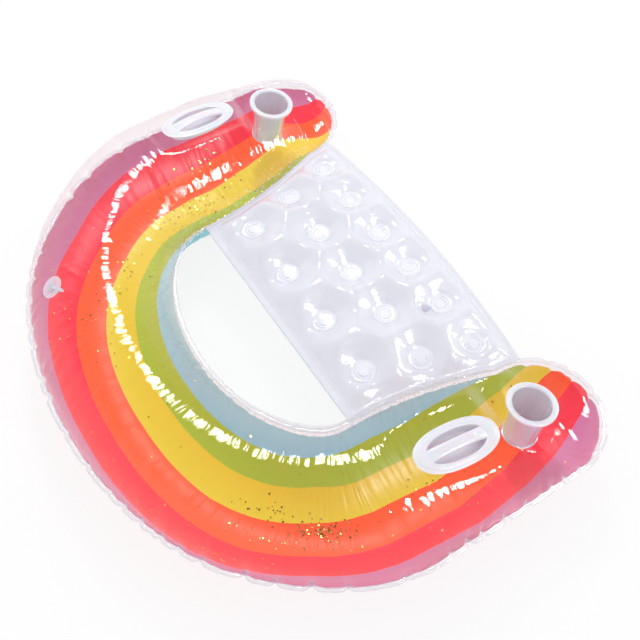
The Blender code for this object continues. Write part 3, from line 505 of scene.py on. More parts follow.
@dataclass
class TubeForm:
    """The blown-up U-shaped tube as a rule: sections along a bend, two arms and two round tips."""

    layout: PrintLayout = PrintLayout()
    side_x: float = 0.403
    back_y: float = 0.278
    tip_x: float = 0.431
    tip_y: float = -0.296
    back_width: float = 0.264
    side_width: float = 0.284
    tip_width: float = 0.228
    height: float = 0.255
    tip_height: float = 0.130
    seam_z: float = 0.1275
    seam_face: float = 0.0006
    flange: float = 0.009
    taper_start: float = 0.35
    taper_power: float = 1.5
    front_y: float = -0.419
    corner_draw: float = 0.010
    corner_start: float = radians(35)
    bend_spans: int = 190
    arm_spans: int = 100
    section_spans: int = 64
    tip_rays: int = 76
    flange_steps: int = 2
    fine_steps: int = 4000
    inner_fade: float = 0.05
    tip_fade: float = 0.5

    def arm_centre_x(self, y: float) -> float:
        """Give the X of the left arm's middle line at a level of Y."""
        return self.side_x + (self.tip_x - self.side_x) * (y / self.tip_y) ** 2

    def inner_edge_x(self, y: Array, offset: float) -> Array:
        """Give the X of the left arm's inner seam at levels of Y, moved off the tube.

        Args:
            y: Levels of Y in front of the bend.
            offset: How far the line lies inside the seam.

        Returns:
            The X of each place.
        """
        share = np.clip(y / self.tip_y, 0.0, 1.0) ** 2
        centre = self.side_x + (self.tip_x - self.side_x) * share
        half = (self.side_width + (self.tip_width - self.side_width) * share) / 2 + offset
        beyond = np.minimum(y - self.tip_y, 0.0)
        return centre - np.sqrt(np.maximum(half ** 2 - beyond ** 2, 0.0))

    def half_line(self) -> tuple[Array, ...]:
        """Give the left half's sections from the middle of the back to the tip's centre.

        Returns:
            Arrays of centre X and Y, outward X and Y, half width, half height and place along.
        """
        fine = np.linspace(0.0, pi / 2, self.fine_steps)
        steps = np.hypot(np.diff(self.side_x * np.sin(fine)), np.diff(self.back_y * np.cos(fine)))
        reach = np.concatenate([[0.0], np.cumsum(steps)])
        turn = np.interp(np.linspace(0.0, reach[-1], self.bend_spans + 1), reach, fine)
        share = np.linspace(0.0, 1.0, self.arm_spans + 1)[1:]
        forward_x = self.side_x * np.cos(turn)
        forward_y = -self.back_y * np.sin(turn)
        length = np.hypot(forward_x, forward_y)
        ones = np.ones_like(share)
        outward_x = np.concatenate([-forward_y / length, ones])
        outward_y = np.concatenate([forward_x / length, 0 * ones])
        corner = np.maximum(turn - self.corner_start, 0.0) / (pi / 2 - self.corner_start)
        draw = self.corner_draw * np.sin(pi * corner) ** 2
        arm_x = self.side_x + (self.tip_x - self.side_x) * share ** 2
        inset = np.concatenate([draw, 0 * ones]) / 2
        centre_x = np.concatenate([self.side_x * np.sin(turn), arm_x]) - outward_x * inset
        centre_y = np.concatenate([self.back_y * np.cos(turn), self.tip_y * share]) - outward_y * inset
        width = np.concatenate([
            self.back_width + (self.side_width - self.back_width) * np.sin(turn) ** 2 - draw,
            self.side_width + (self.tip_width - self.side_width) * share ** 2,
        ])
        taper = np.maximum(share - self.taper_start, 0.0) / (1.0 - self.taper_start)
        height = np.concatenate([
            self.height + 0 * turn, self.height + (self.tip_height - self.height) * taper ** self.taper_power,
        ])
        along = np.concatenate([np.interp(turn, fine, reach), reach[-1] - self.tip_y * share])
        return centre_x, centre_y, outward_x, outward_y, width / 2, height / 2 - self.seam_face, along

    def columns(self, from_crown: bool) -> tuple[Array, Array]:
        """Give the angle and the flange overhang of each point across a section.

        Args:
            from_crown: Whether the columns start at the crown, as on a tip.

        Returns:
            The angles and the overhangs.
        """
        flange = self.flange * np.arange(1, self.flange_steps + 1) / self.flange_steps
        angles = np.linspace(0.0, pi, self.section_spans + 1)
        if from_crown:
            angles = angles[self.section_spans // 2:]
            return np.concatenate([angles, np.full(len(flange), pi)]), np.concatenate([0 * angles, flange])
        ends = np.zeros(len(flange))
        return (
            np.concatenate([ends, angles, ends + pi]),
            np.concatenate([flange[::-1], 0 * angles, flange]),
        )

    def patches(self) -> list[TubePatch]:
        """Give the three grids of the whole tube: the bend with both arms, the left tip and the right tip."""
        left = self.half_line()
        end = left[6][-1]
        mirror = (-1, 1, -1, 1, 1, 1, -1)
        whole = [np.concatenate([(sign * part)[:0:-1], part]) for sign, part in zip(mirror, left)]
        angles, overhang = self.columns(False)
        rows = len(whole[0])
        grids = [np.repeat(part[:, None], len(angles), 1) for part in whole]
        angle = np.tile(angles, (rows, 1))
        inner = smooth_step((end - np.abs(grids[6])) / self.inner_fade)
        body = TubePatch(
            *grids[:6], angle, grids[6], self.layout.place(grids[6], angle / pi), np.tile(overhang, (rows, 1)), inner,
            np.ones_like(angle),
        )
        result = [body]
        angles, overhang = self.columns(True)
        turn = np.linspace(0.0, pi, self.tip_rays + 1)
        for side in Side:
            turns = np.repeat(turn[:, None], len(angles), 1)
            angle = np.tile(angles, (len(turn), 1))
            half = left[4][-1]
            reach = 2 * angle / pi - 1
            share = 0.5 + 0.5 * np.cos(turns) * reach
            station = side.value * (end + reach * np.sin(turns) * half)
            band = self.layout.place(station, share)
            along = side.value * (end + turns * half)
            full = np.ones_like(angle)
            window = smooth_step((pi - turns) / self.tip_fade)
            patch = [
                full * self.tip_x * side.value, full * self.tip_y, np.cos(turns) * side.value, -np.sin(turns),
                full * half, full * left[5][-1], angle, along, band, np.tile(overhang, (len(turn), 1)),
                0 * full, window,
            ]
            if side is Side.RIGHT:
                patch = [part[::-1] for part in patch]
            result.append(TubePatch(*patch))
        return result


@dataclass(frozen=True)
class ValvePlace:
    """The flat disc of the tube's valve on the back's outer shoulder."""

    origin: tuple[float, float, float] = (0.207805, 0.314683, 0.235131)
    lug: tuple[float, float, float] = (-0.847238, -0.367981, 0.383116)
    side: tuple[float, float, float] = (0.503286, -0.786808, 0.357262)
    up: tuple[float, float, float] = (0.169973, 0.495503, 0.851813)
    radius: float = 0.0225
    lug_reach: float = 0.036
    lug_half: float = 0.005
    drop: float = 0.0006
    slope: float = 0.30
    blend: float = 0.0012
    span: float = 0.09
    depth: float = 0.05

    def matrix(self) -> Matrix:
        """Give the valve's place."""
        rotation = Matrix((self.lug, self.side, self.up)).transposed().to_4x4()
        return Matrix.Translation(self.origin) @ rotation

    def flatten(self, points: Array) -> Array:
        """Press the film flat under the valve's disc and lug.

        Args:
            points: The film's points.

        Returns:
            The moved points.
        """
        offset = points - np.array(self.origin)
        x = offset @ np.array(self.lug)
        y = offset @ np.array(self.side)
        height = offset @ np.array(self.up)
        disc = np.hypot(x, y) - self.radius
        lug = np.hypot(np.maximum(np.abs(x - self.lug_reach / 2) - self.lug_reach / 2, 0.0),
                       np.maximum(np.abs(y) - self.lug_half, 0.0))
        free = np.maximum(np.minimum(disc, lug), 0.0)
        allowed = soft_min(height, free * self.slope - self.drop, self.blend)
        near = (np.abs(x) < self.span) & (np.abs(y) < self.span) & (np.abs(height) < self.depth)
        shift = np.where(near, allowed - height, 0.0)
        return points + shift[:, None] * np.array(self.up)


@dataclass
class TubeFilms:
    """The tube's two films with their seams, puckers and creases."""

    form: TubeForm
    seats: Sequence[FilmSeat]
    valve: ValvePlace
    film: float = 0.0004
    top_fullness: float = 0.96
    bottom_fullness: float = 1.27
    pole_spread: float = 0.0001
    pole_reach: float = 0.0008
    weld_reach: float = 0.00006
    cup_hole: float = 0.0365
    dish_hole: tuple[float, float] = (0.0285, 0.0653)
    dish_power: float = 2.3
    valve_hole: float = 0.0080
    cut_reach: float = 0.006
    valve_cut_reach: float = 0.004
    hole_steps: int = 96
    seat_blend: float = 0.007
    flange_wave: float = 0.0009
    inner_wave_share: float = 0.35
    wave_noise: Noise = Noise((0.019, 1.0), (20, 0), 8)
    bulge: float = 0.0012
    bulge_noise: Noise = Noise((0.055, 0.055), (40, 40), 5)
    bands: int = 6
    seam_margin: float = 0.0012
    inner_margin: float = 0.019
    print_margin: float = 0.013
    print_notch: float = 0.010
    print_start_turn: float = 0.5
    print_end_turn: float = 0.35
    pull_share: float = 0.75
    pull_reach: float = 0.014
    pull_mean: float = 0.0012
    pleat: float = 0.0018
    pleat_level: float = 0.4
    pleat_noise: Noise = Noise((0.0090, 0.075), (60, 0), 17)
    pleat_reach: float = 0.070
    pleat_start: float = 0.006
    lean: float = 0.006
    lean_noise: Noise = Noise((0.06, 0.09), (9, 0), 19)
    crown_pleat_share: float = 0.62
    coarse_spacing: float = 0.02
    folds: tuple[Folds, ...] = (
        Folds(Seam.OUTER, spacing=0.047, depth=0.0050, width=0.0036, spread=0.10, reach=0.026, skew=0.10, seed=11),
        Folds(Seam.OUTER, spacing=0.013, depth=0.0012, width=0.0026, spread=0.08, reach=0.016, skew=0.20, seed=12),
        Folds(Seam.OUTER, spacing=0.085, depth=0.0016, width=0.0040, spread=0.05, reach=0.150, skew=0.12, seed=13),
        Folds(Seam.INNER, spacing=0.0105, depth=0.0017, width=0.0024, spread=0.06, reach=0.014, skew=0.30, seed=21),
        Folds(Seam.INNER, spacing=0.024, depth=0.0016, width=0.0034, spread=0.05, reach=0.040, skew=0.22, seed=22),
        Folds(Seam.INNER, spacing=0.048, depth=0.0013, width=0.0036, spread=0.04, reach=0.120, skew=0.12, seed=23),
    )

    def fold_depth(self, patch: TubePatch, sheet: Sheet) -> Array:
        """Give how deep the puckers and the creases draw a film in, the coarse ones alike on both films."""
        total = np.zeros_like(patch.angle)
        for folds in self.folds:
            if folds.seam is Seam.INNER:
                distance, weight = patch.radius * patch.angle, patch.inner_weight
            else:
                distance, weight = patch.radius * (pi - patch.angle), patch.outer_weight
            if weight.max() > 0:
                step = 0 if folds.spacing > self.coarse_spacing else sheet.value
                total += weight * replace(folds, seed=folds.seed + step).depths(patch.along, distance, self.seam_run())
        return total + self.pleats(patch, sheet)

    def seam_run(self) -> float:
        """Give the length of the outer seam from the middle of the back round one tip."""
        return self.form.half_line()[6][-1] + pi * self.form.tip_width / 2

    def pleats(self, patch: TubePatch, sheet: Sheet) -> Array:
        """Give the depth of the fine kinked creases that cross the tube, deepest beside the seams."""
        across = patch.radius * patch.angle
        lean = self.lean * (self.lean_noise.at(patch.along, across) - 0.5)
        wave = self.pleat_noise.at(patch.along + lean, across, sheet.value)
        distance = patch.radius * np.minimum(patch.angle, pi - patch.angle)
        fade = self.crown_pleat_share + (1 - self.crown_pleat_share) * np.exp(-distance / self.pleat_reach)
        outer = smooth_step((patch.angle - pi / 2) / (pi / 4))
        weight = patch.inner_weight * (1 - outer) + patch.outer_weight * outer
        kinks = self.pleat_level - np.abs(2 * wave - 1)
        return self.pleat * kinks * fade * weight * smooth_step(distance / self.pleat_start)

    def seam_pull(self, patch: TubePatch) -> Array:
        """Give how far the main puckers draw the outer seam in: sharp notches between round bulges."""
        distance = np.maximum(patch.radius * (pi - patch.angle), 0.0)
        notch = self.folds[0].depths(patch.along, 0 * distance, self.seam_run())
        return patch.outer_weight * (self.pull_share * notch - self.pull_mean) * np.exp(-distance / self.pull_reach)

    def positions(self, patch: TubePatch, sheet: Sheet) -> Array:
        """Give the outer face of a film over one grid.

        Args:
            patch: The grid.
            sheet: Which film.

        Returns:
            One point for each place of the grid, as rows.
        """
        form = self.form
        sine, cosine = np.sin(patch.angle), np.cos(patch.angle)
        fullness = self.top_fullness if sheet is Sheet.TOP else self.bottom_fullness
        level = patch.half_height * np.maximum(sine, 0.0) ** fullness
        x = patch.centre_x - patch.outward_x * patch.half_width * cosine
        y = patch.centre_y - patch.outward_y * patch.half_width * cosine

        depth = self.fold_depth(patch, sheet)
        swell = self.bulge_noise.at(x, y) - 0.5
        depth -= self.bulge * swell * np.maximum(sine, 0.0) ** 2 * (sheet is Sheet.TOP)
        normal_plan = -cosine / patch.half_width
        normal_up = sine / patch.half_height
        length = np.hypot(normal_plan, normal_up)
        edge = np.where(cosine > 0, -1.0, 1.0) * patch.overhang - self.seam_pull(patch)
        shift = -depth * normal_plan / length + edge
        x = x + patch.outward_x * shift
        y = y + patch.outward_y * shift
        level = np.maximum(level - depth * normal_up / length, 0.0)

        if sheet is Sheet.BOTTOM:
            level = np.minimum(level, patch.half_height)
        else:
            for seat in self.seats:
                level = soft_min(level, np.maximum(seat.ceiling(np.abs(x), y), 0.0), self.seat_blend)
            level = np.where(sine < MERGE, 0.0, np.maximum(level, 0.0))
        weight = np.where(cosine > 0, patch.inner_weight * self.inner_wave_share, patch.outer_weight)
        wave = self.wave_noise.at(patch.along, 0 * x) - 0.5
        wave = 2 * self.flange_wave * wave * weight * patch.overhang / form.flange
        z = form.seam_z + wave + sheet.value * (form.seam_face + level)
        points = np.stack([x, y, z], -1).reshape(-1, 3)
        return self.valve.flatten(points) if sheet is Sheet.TOP else points

    def ink_distance(self, patch: TubePatch) -> Array:
        """Give how far inside the printed area each place of a grid lies, below 0 where the film is bare."""
        outer = patch.radius * (pi - patch.angle) - patch.overhang
        inner = patch.radius * patch.angle - patch.overhang
        turned = np.clip((np.abs(patch.along) - self.form.half_line()[6][-1]) / patch.half_width, 0.0, pi)
        before_end = smooth_step((pi - turned) / self.print_end_turn)
        tip = smooth_step(turned / self.print_start_turn) * before_end
        band = patch.band_place * self.bands
        notch = np.abs(2 * (band - np.floor(band)) - 1) ** 4
        margin = self.seam_margin + tip * (self.print_margin + self.print_notch * notch)
        margin = margin + (1.0 - before_end) * (self.inner_margin - self.seam_margin)
        return np.minimum(outer - margin, inner - self.inner_margin)

    def film_object(self, name: str, sheet: Sheet) -> Obj:
        """Make one film of the tube with its thickness and its UV maps, closed at the arm tips."""
        points: list[Array] = []
        faces: list[Array] = []
        poles: list[Array] = []
        maps: dict[str, list[Array]] = {"film": [], "print": []}
        start = 0
        for patch in self.form.patches():
            index = np.arange(patch.angle.size).reshape(patch.angle.shape) + start
            quads = grid_faces(index)
            faces.append(quads if sheet is Sheet.TOP else quads[:, ::-1])
            points.append(self.positions(patch, sheet))
            grid = points[-1].reshape(*patch.angle.shape, 3)
            for line in (*grid, *grid.swapaxes(0, 1)):
                if np.ptp(line[:, :2], axis=0).max() < self.pole_spread:
                    poles.append(line.mean(0))
            across = patch.radius * np.minimum(patch.angle, pi - patch.angle) - patch.overhang
            maps["film"].append(np.stack([patch.along, across], -1).reshape(-1, 2))
            maps["print"].append(np.stack([patch.band_place, self.ink_distance(patch)], -1).reshape(-1, 2))
            start += patch.angle.size
        places = np.concatenate(points)
        for pole in poles:
            places[np.linalg.norm(places - pole, axis=1) < self.pole_reach] = pole
        obj = mesh_object(name, places, np.concatenate(faces))
        for key, values in maps.items():
            write_uv(obj, key, np.concatenate(values))
        weld_points(obj, reach=self.weld_reach)
        thicken(obj, self.film, use_quality_normals=True)
        return obj

    def cutter(self) -> Obj:
        """Make the tool that opens the top film for the cups, the dishes and the valve."""
        cup, handle = self.seats
        holes: list[tuple[Matrix, float, float, float, float]] = []
        for side in Side:
            holes.append((cup.matrix(side), self.cup_hole, self.cup_hole, 2.0, self.cut_reach))
            holes.append((handle.matrix(side), *self.dish_hole, self.dish_power, self.cut_reach))
        holes.append((self.valve.matrix(), self.valve_hole, self.valve_hole, 2.0, self.valve_cut_reach))
        vertices: list[tuple[float, ...]] = []
        faces: list[list[int]] = []
        for matrix, half_x, half_y, power, reach in holes:
            x, y = oval(self.hole_steps, half_x, half_y, power)
            points, skin = loft(np.stack([np.stack([x, y, 0 * x + z], -1) for z in (-reach, reach)]), flip=True)
            faces += [[len(vertices) + i for i in face] for face in skin]
            vertices += [tuple(matrix @ Vector(point)) for point in points]
        tool = mesh_object("film_openings", np.array(vertices), faces)
        weld_points(tool, face_normals=True)
        return tool

    def build(self, finishes: dict[str, Finish]) -> list[Obj]:
        """Make and dress both films."""
        top = self.film_object("tube_top_film", Sheet.TOP)
        combine(top, self.cutter(), "DIFFERENCE", "MANIFOLD")
        bottom = self.film_object("tube_print_film", Sheet.BOTTOM)
        bake_modifiers(bottom)
        for obj, finish, slot, node in (
            (top, "clear", "clear_film", "tube_top_sheet"), (bottom, "print", "printed_film", "tube_bottom_sheet"),
        ):
            obj.data.shade_smooth()
            settle(obj, finishes[finish], slot, FLOAT_BODY, node)
        return [top, bottom]


@dataclass
class SeatMat:
    """The clear seat mat: two films welded round the edge and at fifteen spots, blown up as one cushion."""

    form: TubeForm
    back_setback: float = 0.012
    corner_setback: float = 0.073
    front_bulge: float = 0.026
    flange: float = 0.012
    back_flange: float = 0.018
    crown: float = 0.0345
    start_share: float = 0.80
    blend_power: float = 2.0
    rise: float = 0.014
    rise_run: float = 0.060
    edge_run: float = 0.045
    weld_radius: float = 0.021
    weld_run: float = 0.045
    seam_gap: float = 0.0004
    mid_z: float = 0.1291
    rows: tuple[tuple[int, float, float], ...] = ((6, 0.504, 0.128), (5, 0.454, 0.228), (4, 0.387, 0.3315))
    valve_x: float = -0.150
    valve_y: float = -0.256
    valve_pad: float = 0.0125
    valve_share: float = 0.55
    valve_turn: float = radians(250)
    step: float = 0.0066
    fill_columns: int = 60
    fill_rows: int = 70
    edge_room: float = 0.55
    ripple_room: float = 0.6
    weld_circles: tuple[tuple[float, int], ...] = ((0.3, 7), (0.65, 14), (1.0, 22))
    ripple_circles: tuple[tuple[float, int], ...] = (
        (0.0024, 28), (0.0048, 30), (0.0074, 32), (0.0100, 34), (0.0130, 36),
    )
    ripple: float = 0.0007
    ripple_pitch: float = 0.0086
    ripple_start: float = 0.004
    ripple_rise: float = 0.003
    ripple_reach: float = 0.0135
    ripple_fade: float = 0.004
    pressure: float = 4.0
    growth: float = 0.045
    most_moved: float = 0.011
    frames: int = 22
    soften_steps: int = 16
    rib_radius: float = 0.0168
    rib_size: float = 0.0005
    inner_rib_share: float = 0.66
    welds: Array = field(init=False)

    def __post_init__(self) -> None:
        """Place the welds."""
        places = []
        for count, span, setback in self.rows:
            places += [(span * i / (count - 1) - span / 2, self.form.front_y + setback) for i in range(count)]
        self.welds = np.array(places)

    @property
    def back_y(self) -> float:
        """Give the back edge."""
        return -self.back_setback

    @property
    def corner_y(self) -> float:
        """Give the level of the front corners."""
        return self.form.front_y + self.corner_setback

    def front_y(self, x: Array) -> Array:
        """Give the front edge at places across the chair."""
        half = float(self.form.inner_edge_x(np.array([self.corner_y]), self.seam_gap)[0])
        return self.corner_y - self.front_bulge * (1.0 - (x / half) ** 2)

    def edge_distance(self, x: Array, y: Array) -> Array:
        """Give how far places of the mat lie inside its flat flange."""
        side = self.form.inner_edge_x(y, self.seam_gap + self.flange) - np.abs(x)
        front = y - self.front_y(x) - self.flange
        back = self.back_y - self.back_flange - y
        return np.minimum(np.minimum(side, front), back)

    def weld_distances(self, x: Array, y: Array) -> Array:
        """Give the distance of places, in rows, from the edge of each weld, below 0 inside it."""
        return np.hypot(x[:, None] - self.welds[:, 0], y[:, None] - self.welds[:, 1]) - self.weld_radius

    def crown_at(self, x: Array, y: Array) -> Array:
        """Give the bulge over the mat's middle level: none at the welds and the flange, round between them."""
        shares = np.concatenate(
            [self.weld_distances(x, y) / self.weld_run, self.edge_distance(x, y)[:, None] / self.edge_run], 1
        )
        arches = np.sin(pi / 2 * np.clip(shares, 0.0, 1.0))
        flat = arches.min(1) < self.seam_gap
        total = 1.0 + (np.maximum(arches, 0.001) ** -self.blend_power - 1.0).sum(1)
        return np.where(flat, 0.0, self.crown * total ** (-1.0 / self.blend_power))

    def rise_at(self, x: Array, y: Array) -> Array:
        """Give how far the middle level stands over the flange."""
        return self.rise * smooth_step(self.edge_distance(x, y) / self.rise_run)

    def outline(self, inset: float, back_inset: float) -> list[tuple[float, float]]:
        """List a closed line of the plan, moved in from the mat's edge.

        Args:
            inset: How far it lies inside the sides and the front.
            back_inset: How far it lies inside the back.

        Returns:
            Places in plan, in order.
        """
        top, bottom = self.back_y - back_inset, self.corner_y + inset
        rows = int((top - bottom) / self.step)
        levels = np.linspace(top, bottom, rows + 1)
        side = self.form.inner_edge_x(levels, self.seam_gap + inset)
        left = list(zip(side, levels))
        columns = int(2 * side[-1] / self.step)
        front_x = np.linspace(side[-1], -side[-1], columns + 1)[1:-1]
        front = list(zip(front_x, self.front_y(front_x) + inset))
        columns = int(2 * side[0] / self.step)
        back = [(x, top) for x in np.linspace(-side[0], side[0], columns + 1)[1:-1]]
        right = [(-x, y) for x, y in left[::-1]]
        return (left + front + right + back)[::-1]

    def plan_net(self) -> tuple[Array, list[list[int]]]:
        """Make the triangle net of one sheet in plan.

        Returns:
            The places and the triangles, turned anticlockwise.
        """
        fixed, edges = [], []
        for line in (self.outline(0, 0), self.outline(self.flange, self.back_flange)):
            start = len(fixed)
            fixed += line
            edges += [(start + i, start + (i + 1) % len(line)) for i in range(len(line))]
        circles = [(self.weld_radius * share, count, 0.0) for share, count in self.weld_circles]
        circles += [(self.weld_radius + extra, count, 0.5) for extra, count in self.ripple_circles]
        rings = []
        for radius, count, turn in circles:
            angles = 2 * pi * (np.arange(count) + turn) / count
            circle = radius * np.stack([np.cos(angles), np.sin(angles)], 1)
            rings += [weld + circle for weld in self.welds]
        columns, levels = np.meshgrid(np.arange(-self.fill_columns, self.fill_columns + 1), np.arange(self.fill_rows))
        fill_x = (columns + (levels % 2) / 2).ravel() * self.step
        fill_y = (self.back_y - levels * (self.step * 0.866)).ravel()
        keep = self.edge_distance(fill_x, fill_y) > self.step * self.edge_room
        beyond = self.ripple_circles[-1][0] + self.step * self.ripple_room
        keep &= self.weld_distances(fill_x, fill_y).min(1) > beyond
        places = [Vector(p) for p in fixed]
        places += [Vector(p) for p in np.concatenate(rings + [np.stack([fill_x[keep], fill_y[keep]], 1)])]
        plan, _, triangles, _, _, _ = delaunay_2d_cdt(places, edges, [], 1, MERGE)
        return np.array([tuple(p) for p in plan]), [list(t) for t in triangles]

    def closed_net(self) -> tuple[Obj, Array, Array]:
        """Make the cushion before it is blown up.

        Returns:
            The object, which points are held, and the plan of each point.
        """
        plan, triangles = self.plan_net()
        x, y = plan[:, 0], plan[:, 1]
        crown, rise = self.crown_at(x, y), self.rise_at(x, y)
        crown = crown * self.start_share
        top = self.mid_z + self.form.seam_face + crown + rise
        bottom = self.mid_z - self.form.seam_face - crown + rise
        near_valve = np.hypot(x - self.valve_x, y - self.valve_y) < self.valve_pad
        top = np.where(near_valve, self.valve_level(), top)
        count = len(plan)
        points = np.concatenate([np.stack([x, y, top], 1), np.stack([x, y, bottom], 1)])
        faces = [list(t) for t in triangles] + [[count + i for i in t[::-1]] for t in triangles]
        sides = {(a, b): None for t in triangles for a, b in zip(t, t[1:] + t[:1])}
        faces += [[b, a, count + a, count + b] for a, b in sides if (b, a) not in sides]
        held = (self.edge_distance(x, y) < MERGE) | (self.weld_distances(x, y).min(1) < MERGE)
        held = np.concatenate([held | near_valve, held])
        return mesh_object("seat_mat", points, faces), held, np.concatenate([plan, plan])

    def valve_level(self) -> float:
        """Give the level of the flat pad under the seat's valve."""
        x, y = np.array([self.valve_x]), np.array([self.valve_y])
        level = self.valve_share * self.crown_at(x, y) + self.rise_at(x, y)
        return float(self.mid_z + self.form.seam_face + level[0])

    def valve_matrix(self) -> Matrix:
        """Give the place of the seat's valve."""
        place = Matrix.Translation((self.valve_x, self.valve_y, self.valve_level() + FIT_GAP))
        return place @ Matrix.Rotation(self.valve_turn, 4, "Z")

    def blow_up(self, obj: Obj, held: Array) -> None:
        """Let a cloth simulation fill the cushion, and keep every point near its start.

        Args:
            obj: The cushion.
            held: Which points stay where they are.
        """
        start = points_of(obj.data)
        group_points(obj, "welded", held)
        cloth = obj.modifiers.new("blown_up", "CLOTH")
        for key, value in CLOTH_SETTINGS.items():
            setattr(cloth.settings, key, value)
        cloth.settings.uniform_pressure_force = self.pressure
        cloth.settings.shrink_min = -self.growth
        cloth.settings.effector_weights.gravity = 0
        cloth.point_cache.frame_start = 1
        cloth.point_cache.frame_end = self.frames
        for number in range(1, self.frames + 1):
            bpy.context.scene.frame_set(number)
        blown = obj.evaluated_get(bpy.context.evaluated_depsgraph_get())
        shift = points_of(blown.to_mesh()) - start
        blown.to_mesh_clear()
        length = np.linalg.norm(shift, axis=1)
        log.info("seat_mat moved %.1f mm at most, %.1f mm on average", length.max() * 1000, length.mean() * 1000)
        capped = self.most_moved * np.tanh(length / self.most_moved)
        shift *= (capped / np.maximum(length, MERGE))[:, None]
        shift[held] = 0
        obj.modifiers.clear()
        obj.vertex_groups.clear()
        move_points(obj, start + shift)
        bpy.context.scene.frame_set(1)

    def build(self, finishes: dict[str, Finish]) -> list[Obj]:
        """Make the cushion and the ribs of its welds."""
        obj, held, plan = self.closed_net()
        self.blow_up(obj, held)
        weld = self.weld_distances(plan[:, 0], plan[:, 1]).min(1)
        edge = self.edge_distance(plan[:, 0], plan[:, 1])
        group_points(obj, "free", ~held)
        add_modifier(obj, "soften", "SMOOTH", factor=0.5, iterations=self.soften_steps, vertex_group="free")
        bake_modifiers(obj)
        obj.vertex_groups.clear()
        self.press_ripples(obj, weld)
        write_uv(obj, "mat", np.stack([weld, edge], 1))
        add_modifier(obj, "smooth", "SUBSURF", levels=1, render_levels=1)
        bake_modifiers(obj)
        obj.data.shade_smooth()
        settle(obj, finishes["mat"], "mat_film", FLOAT_BODY, "seat_top_sheet", "seat_bottom_sheet")
        return [obj, self.weld_ribs(finishes["rib"])]

    def press_ripples(self, obj: Obj, weld: Array) -> None:
        """Raise the fine rings round each weld on both films.

        Args:
            obj: The cushion.
            weld: Distance of each point from the nearest weld's edge.
        """
        points = points_of(obj.data)
        window = smooth_step((self.ripple_reach - weld) / self.ripple_fade)
        window *= smooth_step((weld + self.ripple_start) / self.ripple_rise)
        height = self.ripple * (0.5 + 0.5 * np.cos(2 * pi * weld / self.ripple_pitch)) * window
        count = len(points) // 2
        points[:count, 2] += height[:count]
        points[count:, 2] -= height[count:]
        move_points(obj, points)

    def rib_rings(self, net: Net, entry: Any) -> dict[str, Any]:
        """Build the two ribs of a weld, and give what the node that places them takes."""
        section = net.node("GeometryNodeCurvePrimitiveCircle", {"Resolution": 8, "Radius": entry["Rib Size"]})
        small = net.maths("MULTIPLY", entry["Rib Radius"], entry["Inner Rib Share"])
        both = net.node("GeometryNodeJoinGeometry")
        for radius, steps in ((entry["Rib Radius"], 40), (small, 32)):
            ring = net.node("GeometryNodeCurvePrimitiveCircle", {"Resolution": steps, "Radius": radius})
            tube = net.node("GeometryNodeCurveToMesh", {"Curve": ring, "Profile Curve": section})
            net.tree.links.new(tube.outputs["Mesh"], both.inputs[0])
        return {"Instance": net.node("GeometryNodeSetShadeSmooth", {"Geometry": both})}

    def weld_ribs(self, finish: Finish) -> Obj:
        """Make the pressed ribs of the welds with a node tree that puts two on each weld."""
        x, y = self.welds[:, 0], self.welds[:, 1]
        level = self.mid_z + self.form.seam_face + self.rise_at(x, y)
        obj = mesh_object("seat_weld_ribs", np.stack([x, y, level], 1), [])
        values = {"Rib Radius": self.rib_radius, "Rib Size": self.rib_size, "Inner Rib Share": self.inner_rib_share}
        place_copies(obj, "weld_ribs", values, finish, self.rib_rings)
        settle(obj, finish, "mat_film", FLOAT_BODY)
        return obj


